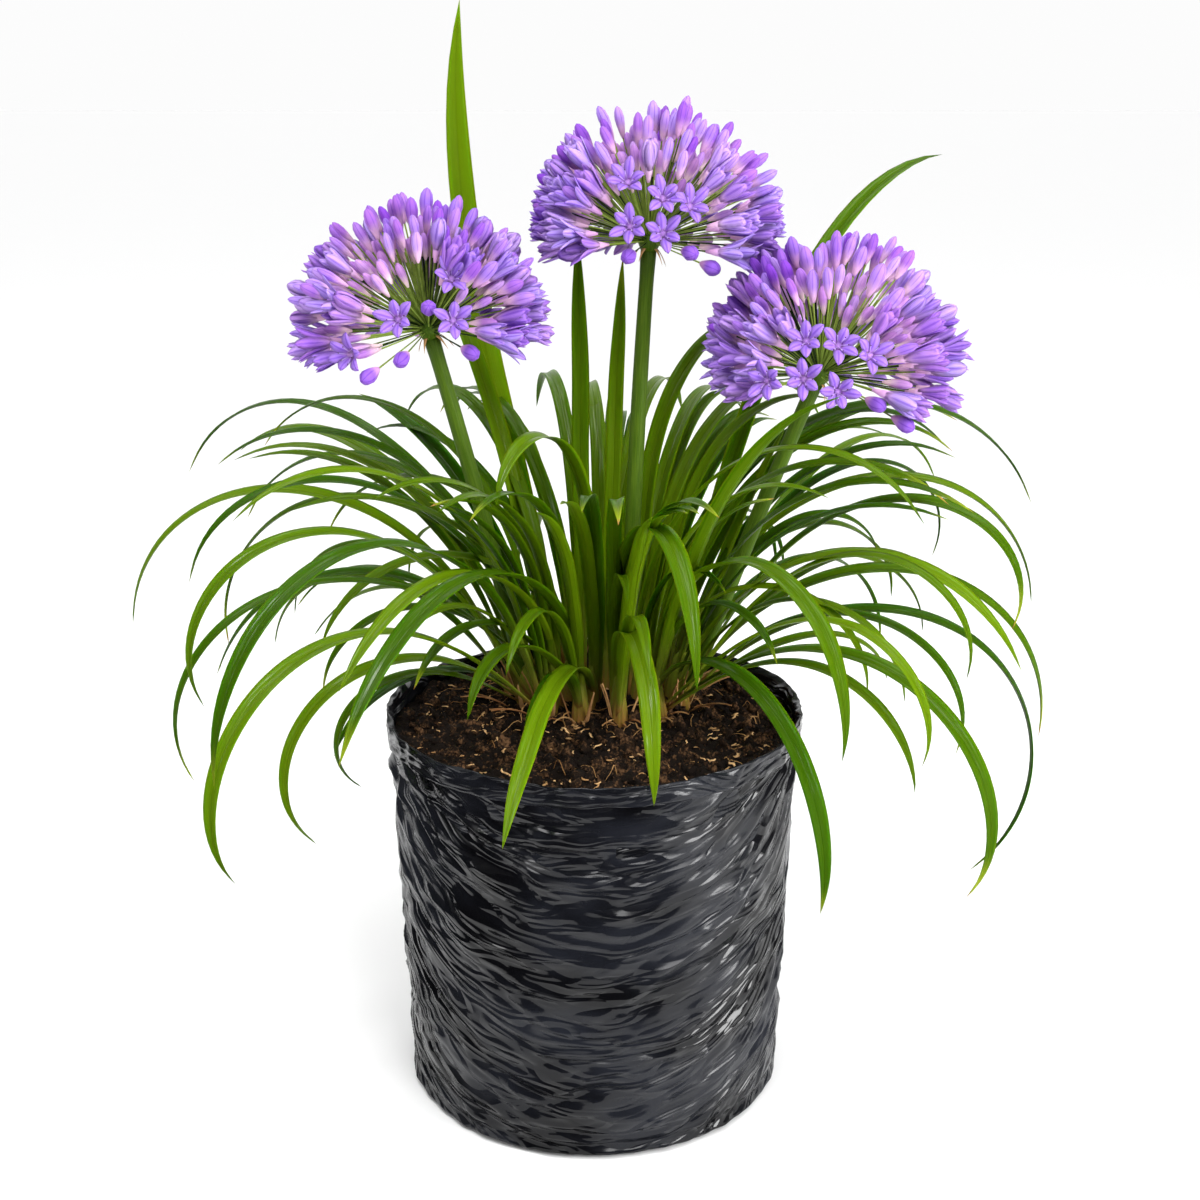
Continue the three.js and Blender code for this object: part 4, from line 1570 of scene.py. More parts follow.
    def blade(self, skin: Skin, shoot: Shoot, leaves: Sequence[Leaf], n: int) -> None:
        """Adds one blade: a channelled strap along an arching line in the upright plane of its heading.

        Args:
            skin: What it is added to.
            shoot: Its shoot.
            leaves: The shoot's leaves.
            n: Its number among them.
        """
        leaf = leaves[n]
        outward, across = turned(leaf.heading), turned(leaf.heading + 90)
        low, high = shoot.spread
        at = self.crown(shoot, leaf.crown)
        at += outward * self.root_place(leaf, leaves)
        at += across * self.fan * (2 * leaf.heading - low - high) / (high - low)
        steps = self.substeps * min(7, max(3, int(abs(leaf.turn) / 30 + 0.5) + 1))
        roll = radians(self.twist) * (2 * even(n, shoot.facing + 3) - 1)
        lean = radians(self.lean) * outward.x
        salt = 13.7 * n + shoot.facing
        rings = []
        for i, share in enumerate(shares(steps)):
            slope = radians(leaf.rise - leaf.turn * share**leaf.lateness)
            along = outward * cos(slope) + UP * sin(slope)
            if i:
                at = at + along * leaf.length / steps
            if i == steps:
                break
            sway = self.sway * smooth(share * 4) * rough(share * 5, salt, 0)
            turn = lean * smooth(2 * share) + roll * share * share + 0.12 * sway
            side = Matrix.Rotation(turn, 3, along) @ across
            width = self.width(leaf, share)
            rings.append(self._section(at + across * sway, along, side, width, salt + 9 * share))
        tone = even(n, shoot.facing + 1) + (self.brightness if leaf.turn < self.straight else 0.0)
        self._strap(skin, rings, at, tone=tone, dry=even(n, shoot.facing + 7))

    def sheath(self, skin: Skin, shoot: Shoot, crown: int, roots: int) -> None:
        """Adds the bundle of leaf bases at the foot of a crown, with the bases' edges as ridges.

        Args:
            skin: What it is added to.
            shoot: Its shoot.
            crown: The crown's number.
            roots: How many leaves it has.
        """
        out, across = turned(shoot.facing), turned(shoot.facing + 90)
        centre = self.crown(shoot, crown)
        depth = self.stack * roots / 2 + 2.2
        width = self.inner_across if crown == 2 else self.sheath_across
        rings = []
        for share in shares(self.sheath_rows)[:-1]:
            size = lerp(1.0, 0.3, share**1.6) * (1 + 0.1 * sin(3 * share))
            centre.z = lerp(self.floor, self.sheath_top, share)
            ring = []
            for turn in spokes(self.sheath_points):
                ridge = 1 + 0.09 * abs(sin(turn * roots / 2 + 0.6 * share))
                outward, aside = out * depth * size * ridge, across * width * size * ridge
                ring.append(centre + outward * cos(turn) + aside * sin(turn))
            rings.append(ring)
        centre.z = self.sheath_top
        heights = [0.09 * share for share in shares(self.sheath_rows)]
        skin.loft(np.array(rings) * MM, along=heights, tip=np.array(centre) * MM, tone=0.35, dry=0.0)

    def dry_bases(self, skin: Skin, shoot: Shoot, n: int) -> None:
        """Adds the papery, dry bases of old leaves round the outside of a shoot.

        Args:
            skin: What they are added to.
            shoot: The shoot.
            n: Its number.
        """
        for k in range(self.old_bases):
            salt = shoot.facing + 5 * k
            heading = shoot.facing + lerp(-62, 62, even(k, salt))
            ranges = enumerate(self.base_ranges, start=1)
            rise, length, turn, broad = (lerp(*ends, even(k, salt + i)) for i, ends in ranges)
            outward, across = turned(heading), turned(heading + 90)
            at = self.crown(shoot, 1) + outward * 6 - UP * 9
            rings = []
            for share in shares(self.base_steps)[:-1]:
                slope = radians(rise - turn * share)
                along = outward * cos(slope) + UP * sin(slope)
                at = at + along * length / self.base_steps
                side = Matrix.Rotation(0.9 * (even(k, salt) - 0.5) * share, 3, along) @ across
                rings.append(self._section(at, along, side, broad * (1 - share) ** 0.7, salt + 14 * share))
            self._strap(skin, rings, at + UP, tone=even(k, n))

    def build(self, finishes: "Finishes") -> None:
        """Makes each shoot a piece, and the dry bases one more, and settles them.

        Args:
            finishes: The materials.
        """
        papery = Skin()
        for n, shoot in enumerate(SHOOTS):
            skin, leaves = Skin(), self.leaves(shoot)
            for crown in (1, 2) if shoot.inner_crown else (1,):
                self.sheath(skin, shoot, crown, sum(leaf.crown == crown for leaf in leaves))
            for i in range(len(leaves)):
                self.blade(skin, shoot, leaves, i)
            self.dry_bases(papery, shoot, n)
            piece = skin.piece(f"leaves_{n + 1:02d}", finishes.blade)
            note(piece.data, "up", [vertex.normal.z for vertex in piece.data.vertices])
            settle(piece, Slot.LEAF, f"leaf_shoot_{n + 1:02d}")
        settle(papery.piece("dry_bases", finishes.papery), Slot.LEAF)


# ---- Flower stalks and heads ----


@dataclass(frozen=True)
class Stem:
    """A flower stalk and its head, in millimetres.

    The head is a ball whose middle lies a shift away from the hub. Each floret at its front is given as
    degrees to the right, degrees up, share of the reach, and whether it is open.
    """

    foot: tuple[float, float]
    hub: Point
    radius: float
    shift: Point
    front: tuple[tuple[float, float, float, bool], ...]

    def reach(self, direction: Vector) -> float:
        """How far the head reaches from its hub in a direction."""
        return self.radius + direction.dot(Vector(self.shift))


STEMS = (
    Stem((-37, 34), (-97, 27, 467), 83, (-5, 0, -1), (
        (-14, 13, 0.72, True), (23, 12, 0.72, True), (24, 37, 0.8, True), (-46, -10, 0.76, True),
        (6, 21, 0.7, False), (-16, -15, 0.6, False), (38, -11, 0.64, False), (-33, -20, 0.76, False),
    )),
    Stem((21, 44), (33, 58, 515), 80, (4, 0, 6), (
        (-16, 14, 0.7, True), (8, 31, 0.74, True), (27, 25, 0.74, True), (8, 9, 0.68, True),
        (-19, 40, 0.78, True), (-18, -7, 0.62, False), (40, -12, 0.76, False), (26, -3, 0.7, False),
    )),
    Stem((52, 33), (132, 17, 442), 80, (9, 0, 7), (
        (-18, 29, 0.76, True), (5, 27, 0.72, True), (25, 19, 0.74, True), (-18, 5, 0.76, True),
        (6, -4, 0.68, True), (-40, 3, 0.86, True), (35, -12, 0.68, False), (48, -20, 0.84, False),
    )),
)


@dataclass(frozen=True)
class FlowerStalk:
    """A smooth round stalk, bowed a little outwards, in millimetres."""

    floor: float = 217
    foot_radius: float = 5.2
    top_radius: float = 4.4
    bow: float = 4
    hub_foot: float = 5.9
    swell: float = 0.5
    swell_from: float = 0.93
    around: int = 28
    rows: int = 40

    def line(self, stem: Stem, share: float) -> tuple[Vector, Vector]:
        """Draws the stalk's middle line.

        Args:
            stem: Which stalk.
            share: The share of the way from its foot to the hub.

        Returns:
            The point there, and the direction.
        """
        foot, hub = Vector((*stem.foot, self.floor)), Vector(stem.hub)
        middle = foot.lerp(hub, 0.5) + Vector((copysign(self.bow, foot.x - hub.x), 0, 0))
        at = foot.lerp(middle, share).lerp(middle.lerp(hub, share), share)
        return at, ((middle - foot) * (1 - share) + (hub - middle) * share).normalized()

    def build(self, stem: Stem, number: int, green: Material) -> None:
        """Makes one stalk and settles it.

        Args:
            stem: Which stalk.
            number: Its number, from 1.
            green: Its material.
        """
        length = (Vector(stem.hub) - Vector((*stem.foot, self.floor))).length
        rings = []
        for share in shares(self.rows):
            at, along = self.line(stem, share * (1 - self.hub_foot / length))
            swell = self.swell * smooth((share - self.swell_from) / (1 - self.swell_from))
            radius = lerp(self.foot_radius, self.top_radius, share) + swell + 0.12 * sin(9 * share + number)
            rings.append(circle(at, along, radius, self.around))
        skin = Skin()
        skin.loft(np.array(rings) * MM)
        settle(skin.piece(f"stalk_{number}", green), Slot.STALK, f"flower_stalk_{number}")


class FloretKind(Enum):
    """The numbers of the floret shapes."""

    SLIM_BUD, BUD, PARTING, TULIP, WIDE, OPEN = range(6)


@dataclass(frozen=True)
class Opening:
    """The shape of a floret that has opened so far, in shares of its length."""

    tepals: Pairs  # heights and radii, up to the tip
    broad: tuple[float, float]  # the width of the inner tepals and of the outer ones
    lift: tuple[float, float]  # how much further out each of them lie
    uneven: float
    stamens: float = 0.0  # how far they spread, or 0 where they still stand together


OPENINGS = {
    FloretKind.PARTING: Opening(
        ((0.3, 0.075), (0.46, 0.112), (0.62, 0.138), (0.77, 0.142), (0.88, 0.118), (0.95, 0.08), (1.0, 0.03)),
        (1.1, 1.3), (-0.12, 0.04), 0.14,
    ),
    FloretKind.TULIP: Opening(
        ((0.3, 0.075), (0.44, 0.112), (0.59, 0.15), (0.74, 0.186), (0.86, 0.212), (0.95, 0.225),
         (1.02, 0.222)),
        (1.0, 1.15), (-0.12, 0.04), 0.14,
    ),
    FloretKind.WIDE: Opening(
        ((0.3, 0.075), (0.43, 0.118), (0.57, 0.168), (0.71, 0.228), (0.84, 0.292), (0.94, 0.352), (1.0, 0.4)),
        (0.95, 0.95), (-0.04, 0.04), 0.14, 0.16,
    ),
    FloretKind.OPEN: Opening(
        ((0.3, 0.08), (0.41, 0.13), (0.53, 0.215), (0.64, 0.32), (0.71, 0.42), (0.74, 0.51), (0.73, 0.58)),
        (1.32, 1.32), (-0.04, 0.04), 0.3, 0.24,
    ),
}


@dataclass(frozen=True)
class FloretShapes:
    """The shapes of buds and flowers, one unit long along +Z from the end of the pedicel."""

    tepals: int = 6
    half_widths: tuple[float, ...] = (0.05, 0.088, 0.112, 0.122, 0.104, 0.062)
    thick: float = 0.012
    curl: float = 0.22
    tube: Pairs = ((0, 0.03), (0.1, 0.05), (0.22, 0.076), (0.4, 0.108))
    bud: Pairs = (
        (0, 0.034), (0.08, 0.062), (0.22, 0.096), (0.42, 0.134), (0.63, 0.154), (0.82, 0.132), (0.945, 0.072),
    )
    core: Pairs = ((0.42, 0.08), (0.62, 0.12), (0.8, 0.115), (0.91, 0.07))
    lobes: float = 0.035
    bud_fullness: tuple[float, ...] = (0.98, 1.14)

    def add_bud(self, skin: Skin, fullness: float) -> None:
        """Adds a closed bud with the edges of its six tepals as ridges.

        Args:
            skin: What it is added to.
            fullness: How thick it is, as a share of the usual.
        """
        around = 2 * self.tepals
        rings = []
        for z, r in self.bud:
            lobes = self.lobes * smooth(3 * z)
            radii = [r * fullness * (1 + lobes * cos(self.tepals * a)) for a in spokes(around)]
            rings.append([(q * cos(a), q * sin(a), z) for q, a in zip(radii, spokes(around))])
        across = [0.5 if k % 2 else 0.0 for k in range(around)]
        skin.loft(np.array(rings), across, [z for z, _ in self.bud] + [1.0], (0, 0, 1.0), part=0.0)

    def add_tube(self, skin: Skin) -> None:
        """Adds the closed foot of an open floret."""
        rings = [level_ring(r, z, self.tepals) for z, r in self.tube]
        skin.loft(np.array(rings), [0.2] * self.tepals, [z for z, _ in self.tube], part=0.0)

    def add_core(self, skin: Skin) -> None:
        """Adds the stamens that still stand together inside a closing cup, as one slender cone."""
        rings = [level_ring(r, z, self.tepals) for z, r in self.core]
        skin.loft(np.array(rings), [0.25] * self.tepals, [0.5, 0.6, 0.7, 0.8, 0.9], (0, 0, 0.97), part=0.0)

    def add_tepal(
        self, skin: Skin, path: Sequence[tuple[float, float]], turn: float, lift: float, broad: float
    ) -> None:
        """Adds one pointed tepal: a thin keeled strip whose edges curl towards the flower's middle.

        Args:
            skin: What it is added to.
            path: Its (height, radius) points, the last one its tip.
            turn: Its angle round the flower.
            lift: How much further out it lies than its neighbours, as a share.
            broad: Its width, as a share of the usual.
        """
        out, side = level(turn), Vector((-sin(turn), cos(turn), 0))
        points = [UP * z + out * r * (1 + lift) for z, r in path]
        rings = []
        for i, half in enumerate(broad * width for width in self.half_widths):
            at, along = points[i], (points[i + 1] - points[max(0, i - 1)]).normalized()
            back = side.cross(along).normalized()
            curl, thick = back * (self.curl * half), back * self.thick
            rings.append([at - side * half - curl, at + thick, at + side * half - curl, at - thick])
        heights = [z for z, _ in path[:-1]] + [1.0]
        skin.loft(np.array(rings)[:, ::-1], [0.5, 1.0, 0.5, 0.0], heights, points[-1], part=0.0)

    def add_stamens(self, skin: Skin, spread: float) -> None:
        """Adds six curved stamens, each with its anther.

        Args:
            skin: What they are added to.
            spread: How far out they reach.
        """
        for k in range(6):
            out = level(pi / 3 * (k + 0.5))
            reach = spread * (0.8 + 0.3 * even(k, 2))
            points = [out * 0.02 + UP * 0.3, out * reach * 0.5 + UP * 0.52, out * reach + UP * 0.68]
            rings = [circle(at, UP, 0.007, 3) for at in points]
            skin.loft(np.array(rings), [0.5] * 3, [0.3, 0.6, 0.9], part=0.5)
            foot = points[-1] - out * 0.03
            waist = circle(points[-1] + UP * 0.012, (out + UP).normalized(), 0.022, 4)
            skin.loft(waist[None], [0.5] * 4, [0.9, 1.0], tuple(foot + out * 0.07 + UP * 0.02), part=1.0)

    def add_flower(self, skin: Skin, opening: Opening, n: int) -> None:
        """Adds a floret whose tepals have parted, each at its own angle.

        Args:
            skin: What it is added to.
            opening: How far it has opened.
            n: Its number, from which the angles are drawn.
        """
        self.add_tube(skin)
        for k in range(self.tepals):
            wobble, outer = opening.uneven * (even(k, n) - 0.5), k % 2
            path = [(z + wobble * 0.3 * r, r * (1 + wobble)) for z, r in opening.tepals]
            turn = 2 * pi * k / self.tepals + wobble
            self.add_tepal(skin, path, turn, opening.lift[outer], opening.broad[outer])
        if opening.stamens:
            self.add_stamens(skin, opening.stamens)
        else:
            self.add_core(skin)

    def collection(self) -> Shapes:
        """Makes the shape of each kind of floret.

        Returns:
            The shapes, in the order of FloretKind.
        """
        shapes = Shapes("florets")
        for kind in FloretKind:
            skin = Skin()
            if kind in OPENINGS:
                self.add_flower(skin, OPENINGS[kind], kind.value)
            else:
                self.add_bud(skin, self.bud_fullness[kind.value])
            shapes.add(skin.piece(f"floret_{kind.value}"))
        return shapes


@dataclass(frozen=True)
class Site:
    """One floret: where it starts, the way it points, its kind, its length and its colouring."""

    base: Vector
    aim: Vector
    kind: FloretKind
    length: float
    fullness: float
    tone: float
    young: float = 0.0


@dataclass(frozen=True)
class FlowerHead:
    """A round head of florets on pedicels, in millimetres."""

    florets: int = 275
    crowding: float = 1.22  # past 1, the florets stand closer at the top
    widest: float = 90  # degrees down from the top that the florets reach
    droop_from: float = 66
    droop: float = 5
    low_reach: float = 0.96
    least_reach: float = 0.88
    window_yaw: float = 33  # the half width, in degrees, of the sparse patch at the front
    window_pitch: float = 44
    splay: float = 0.4  # how much of its forward lean a floret at the front keeps
    upright: float = 0.7
    jitter: float = 0.13
    stages: tuple[tuple[float, FloretKind], ...] = (
        (0.4, FloretKind.PARTING), (0.58, FloretKind.TULIP), (0.95, FloretKind.WIDE),
    )  # how ready a floret is from which it has opened so far
    length: float = 28
    open_length: float = 20
    bud_length: float = 20
    front_bud: float = 16
    hub_radius: float = 7
    hub_around: int = 20
    hub_outline: Pairs = (
        (-0.85, 0.66), (-0.5, 0.82), (-0.1, 1.0), (0.3, 0.94), (0.62, 0.66), (0.84, 0.3),
    )  # height and radius, as shares of the hub's radius
    hub_tip: float = 0.92
    pedicel: float = 0.42
    pedicel_steps: int = 6
    pedicel_girths: tuple[float, ...] = (0.9, 0.9, 0.9, 0.95, 1.0, 1.1, 1.3, 1.5)
    bract_count: int = 5
    bract_steps: int = 6
    bract_half_width: float = 1.7
    bract_thick: float = 0.25
    front: Vector = field(default_factory=lambda: Vector((0, -0.94, 0.34)))

    def sites(self, stem: Stem, lean: Vector, number: int) -> list[Site]:
        """Places the florets over the head, in two layers, with a sparse patch at its front.

        Args:
            stem: The stalk and its head.
            lean: The way the stalk's end points.
            number: The head's number, from 0.

        Returns:
            Where each floret stands.
        """
        hub, axis = Vector(stem.hub), lean.lerp(UP, self.upright).normalized()
        u, v = square_to(axis)
        cap = 1 - cos(radians(self.widest))
        draw = random.Random(SEED + number)
        sites = []
        for i in range(self.florets):
            down = acos(1 - cap * ((i + 0.5) / self.florets) ** self.crowding) + draw.uniform(-0.05, 0.05)
            angle = i * GOLDEN_TURN + number + draw.uniform(-0.06, 0.06)
            direction = axis * cos(down) + (u * cos(angle) + v * sin(angle)) * sin(down)
            if not self.in_window(direction):
                sites.append(self.site(hub, direction, degrees(down), stem.reach(direction), i, draw))
        for right, up, share, is_open in stem.front:
            yaw, pitch = radians(right), radians(up)
            direction = Vector((sin(yaw) * cos(pitch), -cos(yaw) * cos(pitch), sin(pitch)))
            out = share * stem.reach(direction)
            if is_open:
                aim, length = direction.lerp(self.front, 0.45).normalized(), self.open_length
                base = hub + direction * (out - length * 0.72)
                sites.append(Site(base, aim, FloretKind.OPEN, length, 1.0, 0.45))
            else:
                base, length = hub + direction * (out - self.front_bud), self.front_bud
                sites.append(Site(base, direction, FloretKind.BUD, length, 1.6, 0.75))
        return sites

    def in_window(self, direction: Vector) -> bool:
        """Whether a direction lies in the sparse patch at the front."""
        yaw, pitch = degrees(atan2(direction.x, -direction.y)), degrees(asin(direction.z))
        return hypot(yaw / self.window_yaw, max(0.0, pitch) / self.window_pitch) < 1

    def site(
        self, hub: Vector, direction: Vector, down: float, reach: float, i: int, draw: random.Random
    ) -> Site:
        """Settles one floret: low ones hang and are open, high ones are closed, and some are young and short.

        Args:
            hub: The middle of the head.
            direction: The way out to the floret.
            down: How far it is from the top, in degrees.
            reach: How far the head reaches there.
            i: Its number.
            draw: Where its random numbers come from.

        Returns:
            The floret.
        """
        low = smooth((down - self.droop_from) / (self.widest - self.droop_from))
        young = 1.0 if draw.random() < lerp(0.5, 0.22, smooth(down / 90)) else 0.0
        share = lerp(self.least_reach, 1, draw.random()) * lerp(1, self.low_reach, low)
        share *= lerp(1, draw.uniform(0.7, 0.84), young)
        readiness = (down - 30) / 62 + draw.uniform(-0.4, 0.4) - 0.7 * young
        kind = FloretKind.SLIM_BUD if i % 3 else FloretKind.BUD
        for limit, opened in self.stages:
            kind = opened if readiness >= limit else kind
        closed = kind in (FloretKind.SLIM_BUD, FloretKind.BUD)
        length = self.bud_length if closed else self.length
        length = length * draw.uniform(0.88, 1.08) * lerp(1, 0.84, young)
        base = hub + direction * (share * reach - length) - UP * (self.droop * low)
        aim = (base - hub).normalized().lerp(direction, -0.6).normalized()
        aim.y *= self.splay if aim.y < 0 else 1
        jitter = Vector((draw.uniform(-1, 1), draw.uniform(-1, 1), draw.uniform(-1, 1))) * self.jitter
        tone = draw.uniform(0.1, 1.2) if closed else draw.uniform(-0.2, 0.8)
        fullness = draw.uniform(0.88, 1.08)
        pale = draw.uniform(0.55, 1) if young else draw.uniform(0, 0.45)
        return Site(base, (aim + jitter).normalized(), kind, length, fullness, tone, pale)

    @staticmethod
    def source(sites: Sequence[Site]) -> Object:
        """Makes the points that a Planting takes.

        Args:
            sites: The florets.

        Returns:
            A mesh of points, one for each floret.
        """
        mesh = bpy.data.meshes.new("sites")
        mesh.from_pydata([tuple(site.base * MM) for site in sites], [], [])
        sizes = [(s.length * s.fullness * MM, s.length * s.fullness * MM, s.length * MM) for s in sites]
        note(mesh, "aim", [tuple(s.aim) for s in sites], "FLOAT_VECTOR")
        note(mesh, "size", sizes, "FLOAT_VECTOR")
        note(mesh, "shape", [s.kind.value for s in sites], "INT")
        note(mesh, "tone", [s.tone for s in sites])
        note(mesh, "young", [s.young for s in sites])
        return stand("sites", mesh)

    def pedicels(self, hub: Vector, sites: Sequence[Site]) -> Wires:
        """Draws the thin stems from the hub to each floret, bowed towards the way the floret points.

        Args:
            hub: The middle of the head.
            sites: The florets.

        Returns:
            The stems' middle lines.
        """
        wires = Wires()
        for n, site in enumerate(sites):
            run = site.base - hub
            start = hub + run.normalized() * 0.4 * self.hub_radius
            bend = hub + run * 0.55 + (run.normalized() - site.aim) * 0.12 * run.length
            steps = shares(self.pedicel_steps)
            points = [start.lerp(bend, t).lerp(bend.lerp(site.base, t), t) * MM for t in steps]
            points.append((site.base + site.aim * 1.2) * MM)
            wires.run(points, self.pedicel_girths, 2.4 * even(n, 3) - 0.7)
        return wires

    def hub(self, middle: Vector, lean: Vector) -> Skin:
        """Makes the swelling at the top of the stalk.

        Args:
            middle: Its middle.
            lean: The way the stalk's end points.

        Returns:
            Its skin.
        """
        size, skin = self.hub_radius, Skin()
        around = self.hub_around
        rings = [circle(middle + lean * h * size, lean, w * size, around) for h, w in self.hub_outline]
        tip = tuple((middle + lean * self.hub_tip * size) * MM)
        # its places along lie past 0.93, so the hub takes the stalk's dark top: partly its own colour, partly
        # painted shade under the head
        skin.loft(np.array(rings) * MM, along=[0.94 + 0.01 * i for i in range(7)], tip=tip)
        return skin

    def bracts(self, hub: Vector, lean: Vector) -> Skin:
        """Makes the dry tips of the sheath that once held the head, under the hub.

        Args:
            hub: The middle of the head.
            lean: The way the stalk's end points.

        Returns:
            Their skin.
        """
        skin = Skin()
        u, v = square_to(lean)
        for k in range(self.bract_count):
            angle = 2 * pi * even(k, 8)
            out = u * cos(angle) + v * sin(angle)
            at, rings = hub + out * 4.6 - lean * 4, []
            for share in shares(self.bract_steps)[:-1]:
                side = lean.cross(out) * (self.bract_half_width * (1 - share))
                thick = (out * cos(share) + lean * sin(share)) * self.bract_thick
                rings.append([at + side, at + thick, at - side, at - thick])
                at = at + (out * 0.6 - lean * (0.5 + share)) * lerp(1.2, 2.2, even(k, 1))
            across, tone = [0, 0.5, 1, 0.5], even(k, 4)
            skin.loft(np.array(rings)[:, ::-1] * MM, across, tip=tuple(at * MM), tone=tone)
        return skin

    def build(self, stem: Stem, number: int, lean: Vector, tools: "Tools", finishes: "Finishes") -> None:
        """Makes one head of several pieces and settles them.

        Args:
            stem: The stalk and its head.
            number: Its number, from 1.
            lean: The way the stalk's end points.
            tools: The trees and the floret shapes.
            finishes: The materials.
        """
        hub, sites = Vector(stem.hub), self.sites(stem, lean, number - 1)
        given = {"Shapes": tools.shapes.collection, "Scale": 1.0, "Seed": SEED + number}
        florets = tools.planting.grow(
            self.source(sites), f"florets_{number}", Finish=finishes.petal, **given
        )
        wires, size = self.pedicels(hub, sites).source("wires"), {"Radius": self.pedicel * MM, "Sides": 6}
        stems = tools.sweep.grow(wires, f"pedicels_{number}", Finish=finishes.pedicel, **size)
        swelling = self.hub(hub, lean).piece(f"hub_{number}", finishes.stalk)
        tips = self.bracts(hub, lean).piece(f"bracts_{number}", finishes.papery)
        slots = ((florets, Slot.FLORET), (stems, Slot.STALK), (swelling, Slot.STALK), (tips, Slot.LEAF))
        for piece, slot in slots:
            settle(piece, slot, f"flower_head_{number}")


# ---- Tools and finishes of the whole plant ----


@dataclass
class Tools:
    """The geometry trees and the floret shapes that the heads and the soil share."""

    sweep: Sweep = field(default_factory=Sweep)
    planting: Planting = field(default_factory=Planting)
    litter: Litter = field(default_factory=Litter)
    shapes: Shapes = field(default_factory=lambda: FloretShapes().collection())


def material_of(finish: Finish) -> Any:
    """A field that holds a finish's material, made along with its object."""
    return field(default_factory=finish.material)


PEDICEL = StreakFinish("pedicel_green", (0.008, 0.022, 0.001, 1), (0.24, 0.34, 0.05, 1), 0.35)
WOOD_CHIP = StreakFinish("wood_chip", (0.34, 0.17, 0.06, 1), (0.92, 0.58, 0.27, 1))
TAN_ROOT = StreakFinish("tan_root", (0.22, 0.1, 0.03, 1), (0.64, 0.36, 0.14, 1))
DRY_BASE = StreakFinish("dry_base", (0.26, 0.1, 0.035, 1), (0.64, 0.37, 0.15, 1))
BLACK_CARD = StreakFinish("black_card", (0.004, 0.004, 0.004, 1), (0.01, 0.01, 0.01, 1), 0.0)


@dataclass
class Finishes:
    """Every material of the object."""

    film: Material = material_of(FilmFinish("crumpled_film"))
    soil: Material = material_of(SoilFinish("compost"))
    blade: Material = material_of(BladeFinish("strap_leaf"))
    stalk: Material = material_of(StalkFinish("fleshy_stalk"))
    petal: Material = material_of(PetalFinish("violet_petal"))
    pedicel: Material = material_of(PEDICEL)
    wood: Material = material_of(WOOD_CHIP)
    root: Material = material_of(TAN_ROOT)
    papery: Material = material_of(DRY_BASE)


# ---- Stage ----


@dataclass(frozen=True)
class Lamp:
    """A soft box: its place, width and height in metres, and its power in watts."""

    name: str
    place: Point
    wide: float
    high: float
    power: float


LAMPS = (
    Lamp("key", (1.6, -1.05, 0.65), 0.5, 1.1, 42),
    Lamp("fill", (-1.7, -0.9, 0.9), 0.35, 1.1, 9),
    Lamp("top", (-0.5, -0.6, 2.2), 0.8, 0.8, 18),
    Lamp("front", (0.7, -1.5, 1.6), 0.9, 0.9, 23),
)


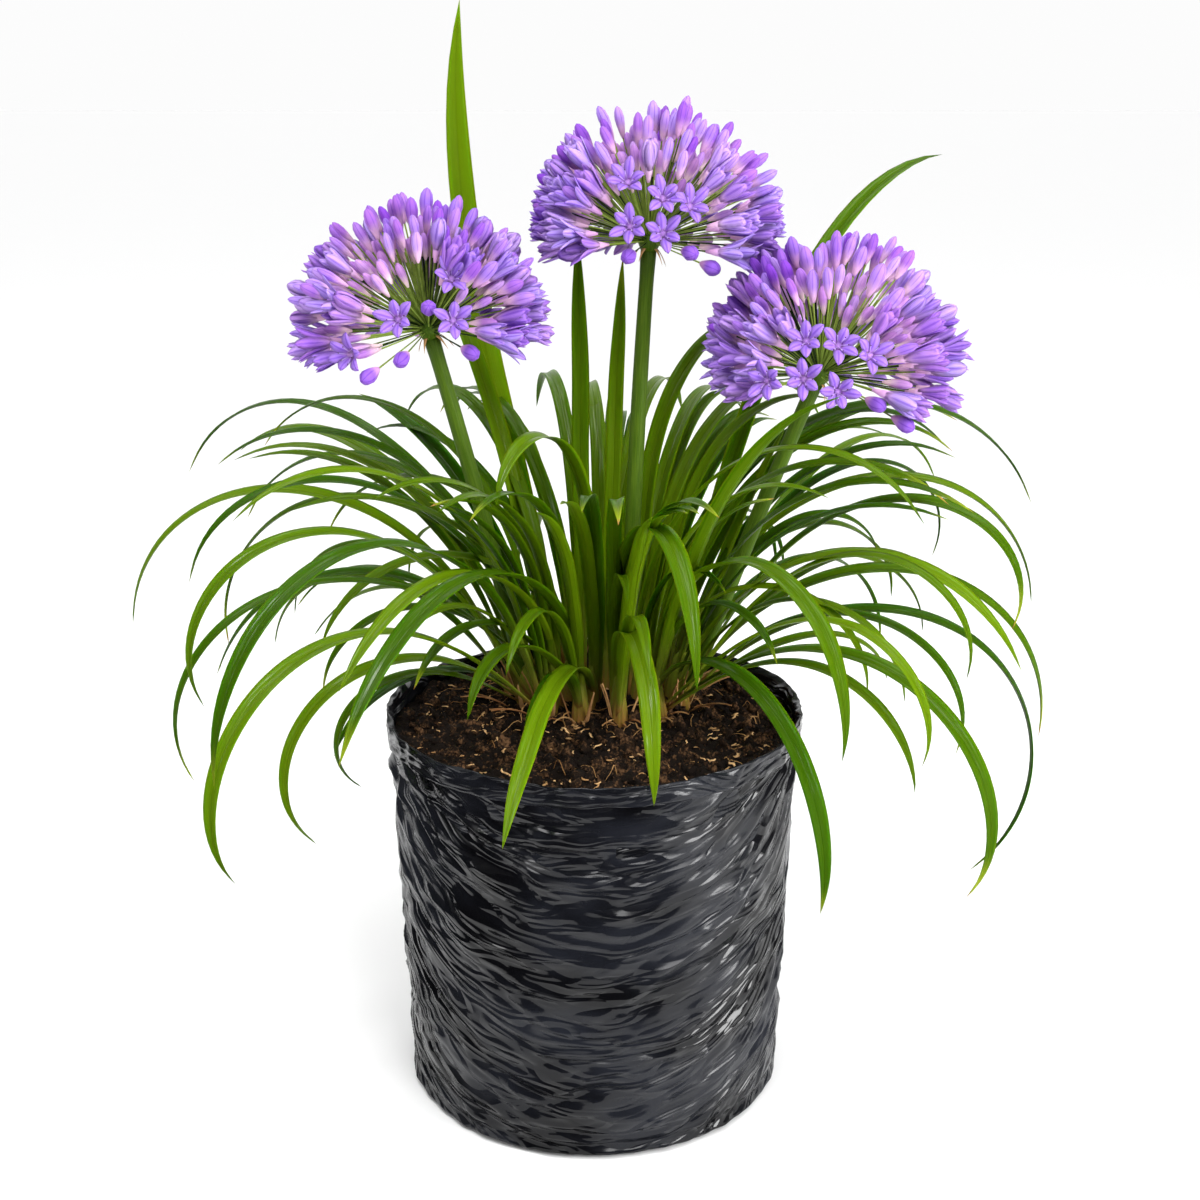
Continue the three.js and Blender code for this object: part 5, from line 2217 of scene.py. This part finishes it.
@dataclass(frozen=True)
class Stage:
    """Pale floor, soft studio light and the camera, in metres."""

    eye: Point = (0.0036, -0.974, 0.610)
    pitch: float = 17.19  # degrees below the level
    lens: float = 51
    sensor: float = 36
    far: float = 100
    floor_size: float = 60
    white: float = 1.15  # the studio right behind the plant
    white_from: float = 0.66
    white_full: float = 0.92
    dim: float = 0.15  # the studio all round
    overhead: float = 1.9
    overhead_from: float = 0.48
    overhead_full: float = 0.82
    backdrop: float = 0.975  # what the camera sees past the floor
    aim_height: float = 0.3  # where the lamps look
    card_radius: float = 0.34
    card_height: float = 0.22
    card_from: float = 165  # degrees round +Z
    card_to: float = 303
    card_steps: int = 12

    def floor(self) -> None:
        """A wide floor at the bag's foot."""
        half = self.floor_size / 2
        corners = [(-half, -half, 0), (half, -half, 0), (half, half, 0), (-half, half, 0)]
        self._panel("floor", corners, [(0, 1, 2, 3)], FloorFinish("pale_floor"))

    def card(self) -> None:
        """A black card curved round the bag's front and left, which only the gloss sees."""
        count = self.card_steps
        turns = [radians(lerp(self.card_from, self.card_to, share)) for share in shares(count)]
        low = [(self.card_radius * cos(turn), self.card_radius * sin(turn), 0.0) for turn in turns]
        high = [(x, y, self.card_height) for x, y, _ in low]
        faces = [(i, i + 1, i + count + 2, i + count + 1) for i in range(count)]
        made = self._panel("card", low + high, faces, BLACK_CARD)
        made.visible_camera = made.visible_diffuse = made.visible_shadow = False

    @staticmethod
    def _panel(
        name: str, points: Sequence[Point], faces: Sequence[tuple[int, ...]], finish: Finish
    ) -> Object:
        """Adds an open surface that belongs to the stage.

        Args:
            name: Its name.
            points: Its points.
            faces: Its faces.
            finish: Its finish.

        Returns:
            The object.
        """
        mesh = bpy.data.meshes.new(name)
        mesh.from_pydata(points, [], faces)
        mesh.materials.append(finish.material())
        made = stand(name, mesh)
        return made

    def light(self, lamp: Lamp) -> None:
        """Hangs a soft box that looks at the plant's middle.

        Args:
            lamp: Its place, size and power.
        """
        light = bpy.data.lights.new(lamp.name, "AREA")
        light.shape = "RECTANGLE"
        light.size, light.size_y, light.energy = lamp.wide, lamp.high, lamp.power
        made = stand(lamp.name, light)
        made.location = lamp.place
        look = Vector((0, 0, self.aim_height)) - Vector(lamp.place)
        made.rotation_euler = look.to_track_quat("-Z", "Y").to_euler()

    def camera(self) -> None:
        """The camera, with no shift and no depth of field."""
        lens = bpy.data.cameras.new("camera")
        lens.lens, lens.sensor_width, lens.clip_end = self.lens, self.sensor, self.far
        made = stand("camera", lens)
        made.location = self.eye
        made.rotation_euler = (radians(90 - self.pitch), 0, 0)
        bpy.context.scene.camera = made

    def sky(self) -> None:
        """A bright studio overhead and right behind the plant, a dim one all round, and a pale backdrop."""
        world = bpy.data.worlds.new("studio")
        world.use_nodes = True
        graph = Graph(world.node_tree)
        _, y, z = graph.parts(graph.spot("Generated"))
        back, top = y.fade(self.white_from, self.white_full), z.fade(self.overhead_from, self.overhead_full)
        glow = (self.dim + (self.white - self.dim) * back) * (1.0 - top) + self.overhead * top
        seen = graph.value("ShaderNodeLightPath")
        glow = glow * (1.0 - seen) + self.backdrop * seen
        light = graph.add("ShaderNodeBackground", inputs={"Color": (1, 1, 1, 1), "Strength": glow})
        graph.add("ShaderNodeOutputWorld", inputs={"Surface": light.outputs[0]})
        bpy.context.scene.world = world

    def build(self) -> None:
        """Sets up everything that isn't part of the object."""
        bpy.context.scene.view_settings.view_transform = "Standard"
        self.camera()
        self.floor()
        self.card()
        self.sky()
        for lamp in LAMPS:
            self.light(lamp)


def main() -> None:
    """Builds the plant round its frame."""
    Stage().build()
    finishes, tools = Finishes(), Tools()
    PlanterBag().build(finishes.film)
    SoilBed().build(tools, finishes)
    LeafClump().build(finishes)
    stalk, head = FlowerStalk(), FlowerHead()
    for number, stem in enumerate(STEMS, start=1):
        stalk.build(stem, number, finishes.stalk)
        _, lean = stalk.line(stem, 1)
        head.build(stem, number, lean, tools, finishes)
    tools.shapes.discard()


if __name__ == "__main__":
    logging.basicConfig(level=logging.INFO, format="%(name)s: %(message)s")
    main()
